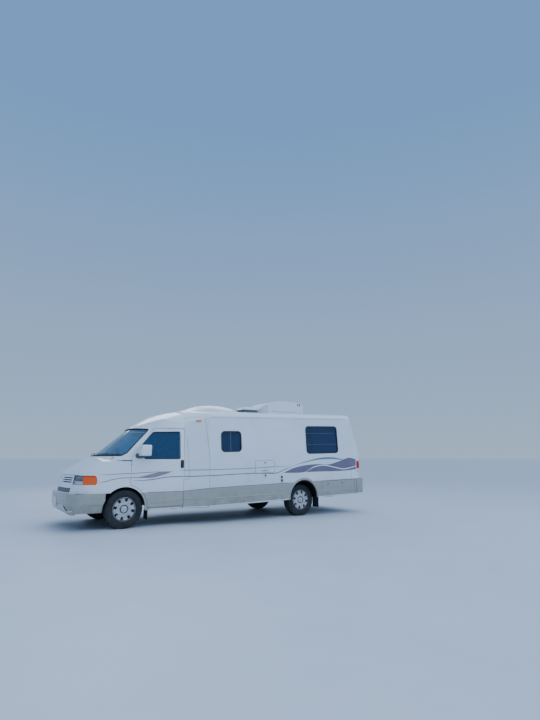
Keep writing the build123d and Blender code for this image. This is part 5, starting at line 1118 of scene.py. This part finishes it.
def tyreMesh():
    points, outline = [], tyreOutline()
    near, far = tread["ribs"]
    for i in range(tread["steps"]):
        turn = 2 * math.pi * i / tread["steps"]
        for r, along, kind in outline:
            # every fourth step is cut across the shoulders and every sixth across the ribs
            shoulder = kind != "low" and abs(along) > tread["shoulderFrom"] and r > tread["shoulderRadius"]
            depth = 0.0
            if shoulder and (i + (2 if along > 0 else 0)) % 4 == 0:
                depth = tread["shoulderCut"]
            elif kind == "top" and near < abs(along) < far and (i + round(along * 90)) % 6 == 0:
                depth = tread["ribCut"]
            points.append(Vector(((r - depth) * math.cos(turn), along, (r - depth) * math.sin(turn))))
    return points, quads(tread["steps"], len(outline), closed=True, around=True)


wheelParts = (
    # name, mesh, finish, slot, smooth
    ("wheel_cover", coverMesh(), "wheel", "wheel_silver", False),
    ("cover_rims", rolledRims(), "wheel", "wheel_silver", True),
    ("cover_groove", spun(coverGroove, 64), "blackAbs", "trim_black", True),
)
tyrePoints, tyreFaces = tyreMesh()
for end, axle in (("front", frontAxle), ("rear", rearAxle)):
    for side, sign in sides:
        body = f"road_wheel_{end}_{side}"
        low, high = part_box(f"tyre_{end}_{side}")
        centre = Vector((axle, (low.y + high.y) / 2, wheelZ))

        def placed(points, sign=sign, centre=centre):
            return [centre + Vector((p.x, p.y * sign, p.z)) for p in points]

        tyre = addPiece(f"tread_{end}_{side}", placed(tyrePoints), tyreFaces, "tyre", body)
        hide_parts(f"tyre_{end}_{side}")
        for name, (points, faces), finish, slot, smooth in wheelParts:
            addPiece(f"{name}_{end}_{side}", placed(points), faces, finish, body, smooth)
print("wheels and tyres made")

# Roof: black pads painted as the shade inside the air conditioner's slots, its seam, ribs of the vent lid
acUnit = {"slots": 2, "slotStart": -4.070, "slotPitch": 0.050, "slotHalf": 0.013, "slotZ": (2.372, 2.425),
          "slotCorner": 0.009, "half": 0.3505, "seamZ": 2.214, "seamEnds": (0.08, 0.20),
          "seam": (0.006, 0.0015)}
ventLid = {"ribs": (-0.09, 0.0, 0.09), "ribEnds": (0.09, 0.08), "rib": (0.016, 0.004)}


def roofPieces():
    acLow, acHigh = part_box("roof_ac")
    front, rear = acLow.x + acUnit["seamEnds"][0], acHigh.x - acUnit["seamEnds"][1]
    seam = walk([(front, acUnit["seamZ"]), (rear, acUnit["seamZ"])], count=12)
    for side, sign in sides:
        normal = Vector((0, sign, 0))

        def onUnit(u, z, sign=sign, normal=normal):
            return Vector((at(u), sign * acUnit["half"], z)), normal

        for k in range(acUnit["slots"]):
            u = acUnit["slotStart"] - k * acUnit["slotPitch"]
            low, high = acUnit["slotZ"]
            corners = rectangle(u - acUnit["slotHalf"], low, u + acUnit["slotHalf"], high)
            outline = spread(roundedLoop(corners, acUnit["slotCorner"]), 0.02)
            # a black pad stands for the shade inside each slot
            padOn(f"ac_slot_shade_{side}_{k}", onUnit, outline, 0.0025, "blackAbs", "van", 0.8)
        moulding(f"ac_seam_{side}", [(Vector((x, sign * acUnit["half"], z)), normal) for x, z in seam],
                 acUnit["seam"], "seamGrey", "roof_shell")
    low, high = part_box("roof_vent_lid")
    ribStart, ribEnd = low.x + ventLid["ribEnds"][0], high.x - ventLid["ribEnds"][1]
    for k, ribY in enumerate(ventLid["ribs"]):
        spots = [(Vector((x, y, high.z)), Vector((0, 0, 1)))
                 for x, y in walk([(ribStart, ribY), (ribEnd, ribY)], count=8)]
        moulding(f"vent_rib_{k}", spots, ventLid["rib"], "whiteAbs", "roof_shell", "roof_vent_lid")


roofPieces()
print("roof fittings set")

# Seats: padded cushion, back and head restraint on each side, blown up as cloth
seatPads = {
    # low and high corners about the seat's middle (mm), lean in degrees, fill
    "cushion": ((-1010, -228, 752), (-642, 228, 862), -3, 0.55),
    "backrest": ((-1128, -222, 872), (-1018, 222, 1418), 8, 0.5),
    "headrest": ((-1176, -128, 1448), (-1098, 128, 1598), 6, 0.6),
}
padForm = {"edge": 0.55, "crown": 0.32, "bolster": 0.16, "bolsterAt": 0.78, "corner": 0.05, "size": 0.97}
padCloth = {"voxel": 0.014, "frames": 20, "pressure": 4.0, "cap": 0.014}
seatFrame = {"middle": 0.43, "rods": 0.06, "rod": ((-1.108, 1.392), (-1.130, 1.470)), "rodRadius": 0.006,
             "shellHalf": 0.19, "shell": ((-1.158, 0.90), (-1.118, 1.36)), "shellEdge": 0.014, "shellLean": -8}


def padShape(name):
    low, high, lean, fill = seatPads[name]
    low, high = Vector(low) / 1000, Vector(high) / 1000
    size, middle = high - low, (low + high) / 2
    build = bmesh.new()
    bmesh.ops.create_cube(build, size=1.0)
    bmesh.ops.subdivide_edges(build, edges=build.edges[:], cuts=7, use_grid_fill=True)
    thin = list(size).index(min(size))
    wide = [k for k in range(3) if k != thin]
    for vert in build.verts:
        p = [vert.co[k] * 2 for k in range(3)]
        # crowned faces, edges drawn in, a pair of raised side bolsters
        crown = (1 - p[wide[0]] ** 4) * (1 - p[wide[1]] ** 4)
        bolster = padForm["bolster"] * math.exp(-((abs(p[1]) - padForm["bolsterAt"]) / padForm["bolster"]) ** 2)
        p[thin] *= padForm["edge"] + padForm["crown"] * crown + bolster
        squareness = max(abs(p[wide[0]]), abs(p[wide[1]])) ** 6
        for k in wide:
            p[k] *= 1 - padForm["corner"] * squareness * abs(p[wide[0]] * p[wide[1]])
        vert.co = Vector(p[k] / 2 * size[k] * padForm["size"] for k in range(3))
    turn = Matrix.Rotation(math.radians(-lean), 3, "Y")
    bmesh.ops.rotate(build, verts=build.verts, cent=(0, 0, 0), matrix=turn)
    return linked("pad_form", build), middle


def blownUp(form):
    # voxel skin of the form, filled by pressure; no point moves further than the cap
    skin = form.modifiers.new("skin", "REMESH")
    skin.mode, skin.voxel_size, skin.use_smooth_shade = "VOXEL", padCloth["voxel"], True
    graph = bpy.context.evaluated_depsgraph_get()
    dense = bpy.data.meshes.new_from_object(form.evaluated_get(graph))
    bpy.data.objects.remove(form)
    rest = [v.co.copy() for v in dense.vertices]
    faces = [list(p.vertices) for p in dense.polygons]
    pad = bpy.data.objects.new("pad_cloth", dense)
    sceneLinks.link(pad)
    cloth = pad.modifiers.new("cloth", "CLOTH")
    cloth.settings.use_pressure = True
    cloth.settings.uniform_pressure_force = padCloth["pressure"]
    cloth.settings.effector_weights.gravity = 0
    cloth.settings.quality = 5
    cloth.point_cache.frame_start, cloth.point_cache.frame_end = 1, padCloth["frames"]
    for frameNumber in range(1, padCloth["frames"] + 1):
        bpy.context.scene.frame_set(frameNumber)
    done = pad.evaluated_get(bpy.context.evaluated_depsgraph_get()).to_mesh()
    moved = []
    for start, vert in zip(rest, done.vertices):
        step = vert.co - start
        moved.append(start + step * min(1, padCloth["cap"] / max(step.length, 1e-6)))
    bpy.data.objects.remove(pad)
    bpy.context.scene.frame_set(1)
    return moved, faces


def seatPieces():
    for name in seatPads:
        form, middle = padShape(name)
        points, faces = blownUp(form)
        for side, sign in sides:
            shift = Vector((frontAxle, sign * seatFrame["middle"], 0)) + middle
            moved = [p + shift for p in points]
            pad = addPiece(f"seat_{name}_{side}", moved, faces, "cloth", "van")
            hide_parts("seats")
    (rearU, shellLow), (frontU, shellHigh) = seatFrame["shell"]
    for side, sign in sides:
        y = sign * seatFrame["middle"]
        for k, off in enumerate((-seatFrame["rods"], seatFrame["rods"])):
            rodAlong(f"headrest_rod_{side}_{k}", [(at(u), y + off, z) for u, z in seatFrame["rod"]],
                     seatFrame["rodRadius"], "zinc", 12)
        roundedBlock(f"seat_back_shell_{side}", (rearU, y - seatFrame["shellHalf"], shellLow),
                     (frontU, y + seatFrame["shellHalf"], shellHigh), seatFrame["shellEdge"],
                     tilt=seatFrame["shellLean"])


seatPieces()
print("seats made")

# Dashboard: hood over two dials, four vents, lid of the glove box, console
dashBlocks = (
    # name, low and high corner (station, y, height), rounding, tilt in degrees, taper
    ("dial_hood", (-0.300, 0.25, 1.062), (-0.120, 0.56, 1.135), 0.026, 6, 0.08),
    ("glove_lid", (-0.332, -0.66, 0.880), (-0.290, -0.22, 0.985), 0.012, -14, 0.0),
    ("console", (-0.330, -0.13, 0.560), (-0.100, 0.13, 0.960), 0.03, 0, 0.1),
)
dials = (("dial_speed", 0.455, 0.052), ("dial_engine", 0.345, 0.044))
dashFace = {"dialU": -0.304, "dialZ": 1.092, "vents": (-0.74, -0.09, 0.09, 0.74), "ventHalf": 0.07,
            "ventU": (-0.318, -0.280), "ventZ": (0.990, 1.046), "ventEdge": 0.008}


def dashPieces():
    for name, low, high, rounding, tilt, taper in dashBlocks:
        roundedBlock(name, low, high, rounding, tilt=tilt, taper=taper)
    for name, y, radius in dials:
        outline = [(0, -0.004), (radius - 0.004, -0.003), (radius, 0.0), (radius + 0.003, 0.004)]
        turned(name, outline, "blackAbs", (at(dashFace["dialU"]), y, dashFace["dialZ"]), 36)
    (rearU, frontU), (low, high), half = dashFace["ventU"], dashFace["ventZ"], dashFace["ventHalf"]
    for k, y in enumerate(dashFace["vents"]):
        roundedBlock(f"dash_vent_{k}", (rearU, y - half, low), (frontU, y + half, high), dashFace["ventEdge"],
                     "blackAbs")


dashPieces()
print("dashboard dressed")

# Stage, lights and camera
view = {"place": (4.6815, 9.467, 1.189), "yaw": 32.37, "pitch": 11.52, "lens": 24.0, "sensor": 36.0,
        "clip": 2000, "floorRadius": 700.0}
softboxes = (
    # name, place, aim, size, power, tint
    ("key_softbox", (7.5, 8.0, 7.0), (0.5, 0.5, 1.0), (6.0, 4.0), 300, "#C6DDFA"),
    ("side_softbox", (-6.0, 9.0, 6.0), (-1.0, 0.5, 1.0), (7.0, 4.0), 300, "#AFCFF8"),
    ("back_softbox", (-2.0, -9.0, 7.0), (0.0, 0.0, 1.2), (8.0, 4.0), 260, "#E6EEFA"),
)


def makeStage():
    # pale floor paint, almost even
    paint = mottled("pale_floor_paint", {"Roughness": 0.55, "IOR": 1.5}, "#C9CDD2", "#C3C8CE", 900)[0]
    build = bmesh.new()
    bmesh.ops.create_circle(build, cap_ends=True, segments=96, radius=view["floorRadius"])
    floor = linked("studio_floor", build)
    floor.data.materials.append(paint)


def makeSky():
    world = bpy.data.worlds.new("soft_studio")
    bpy.context.scene.world = world
    world.use_nodes = True
    tree = world.node_tree
    tree.nodes.clear()
    ray = addNode(tree, "TexCoord", out="Generated")
    height = addNode(tree, "SeparateXYZ", links={0: ray}, out=2)
    rise = addNode(tree, "MapRange", {"From Min": 0.0, "From Max": 0.6}, {"Value": height})
    colour = addNode(tree, "Mix", {"data_type": "RGBA", 6: "#B4CEEC", 7: "#7AABE6"}, {0: rise}, 2)
    light = addNode(tree, "Background", {"Strength": 0.9}, {"Color": colour})
    addNode(tree, "OutputWorld", links={0: light}, out=None)


def softbox(name, place, aim, size, power, tint):
    lamp = bpy.data.lights.new(name, "AREA")
    lamp.shape = "RECTANGLE"
    lamp.size, lamp.size_y = size
    lamp.energy = power
    lamp.color = toLinear(tint)[:3]
    box = bpy.data.objects.new(name, lamp)
    sceneLinks.link(box)
    box.location = place
    box.rotation_euler = (Vector(aim) - Vector(place)).to_track_quat("-Z", "Y").to_euler()


def overcast(name, heading, strength, spreadDegrees, tint):
    # light from the whole upper sky, so that the floor is evenly lit out to the horizon
    lamp = bpy.data.lights.new(name, "SUN")
    lamp.energy = strength
    lamp.angle = math.radians(spreadDegrees)
    lamp.color = toLinear(tint)[:3]
    sky = bpy.data.objects.new(name, lamp)
    sceneLinks.link(sky)
    sky.rotation_euler = Vector(heading).to_track_quat("-Z", "Y").to_euler()


def makeCamera():
    data = bpy.data.cameras.new("photo_camera")
    data.lens = view["lens"]
    data.sensor_width, data.clip_end = view["sensor"], view["clip"]
    camera = bpy.data.objects.new("photo_camera", data)
    sceneLinks.link(camera)
    yaw, pitch = math.radians(view["yaw"]), math.radians(view["pitch"])
    ahead = Vector((-math.sin(yaw) * math.cos(pitch), -math.cos(yaw) * math.cos(pitch), math.sin(pitch)))
    camera.location = view["place"]
    camera.rotation_mode = "QUATERNION"
    camera.rotation_quaternion = ahead.to_track_quat("-Z", "Y")
    bpy.context.scene.camera = camera


makeStage()
makeSky()
overcast("high_overcast", (0.25, -0.2, -1.0), 1.5, 75, "#F4F7FB")
for row in softboxes:
    softbox(*row)
makeCamera()
print("stage, light and camera set")
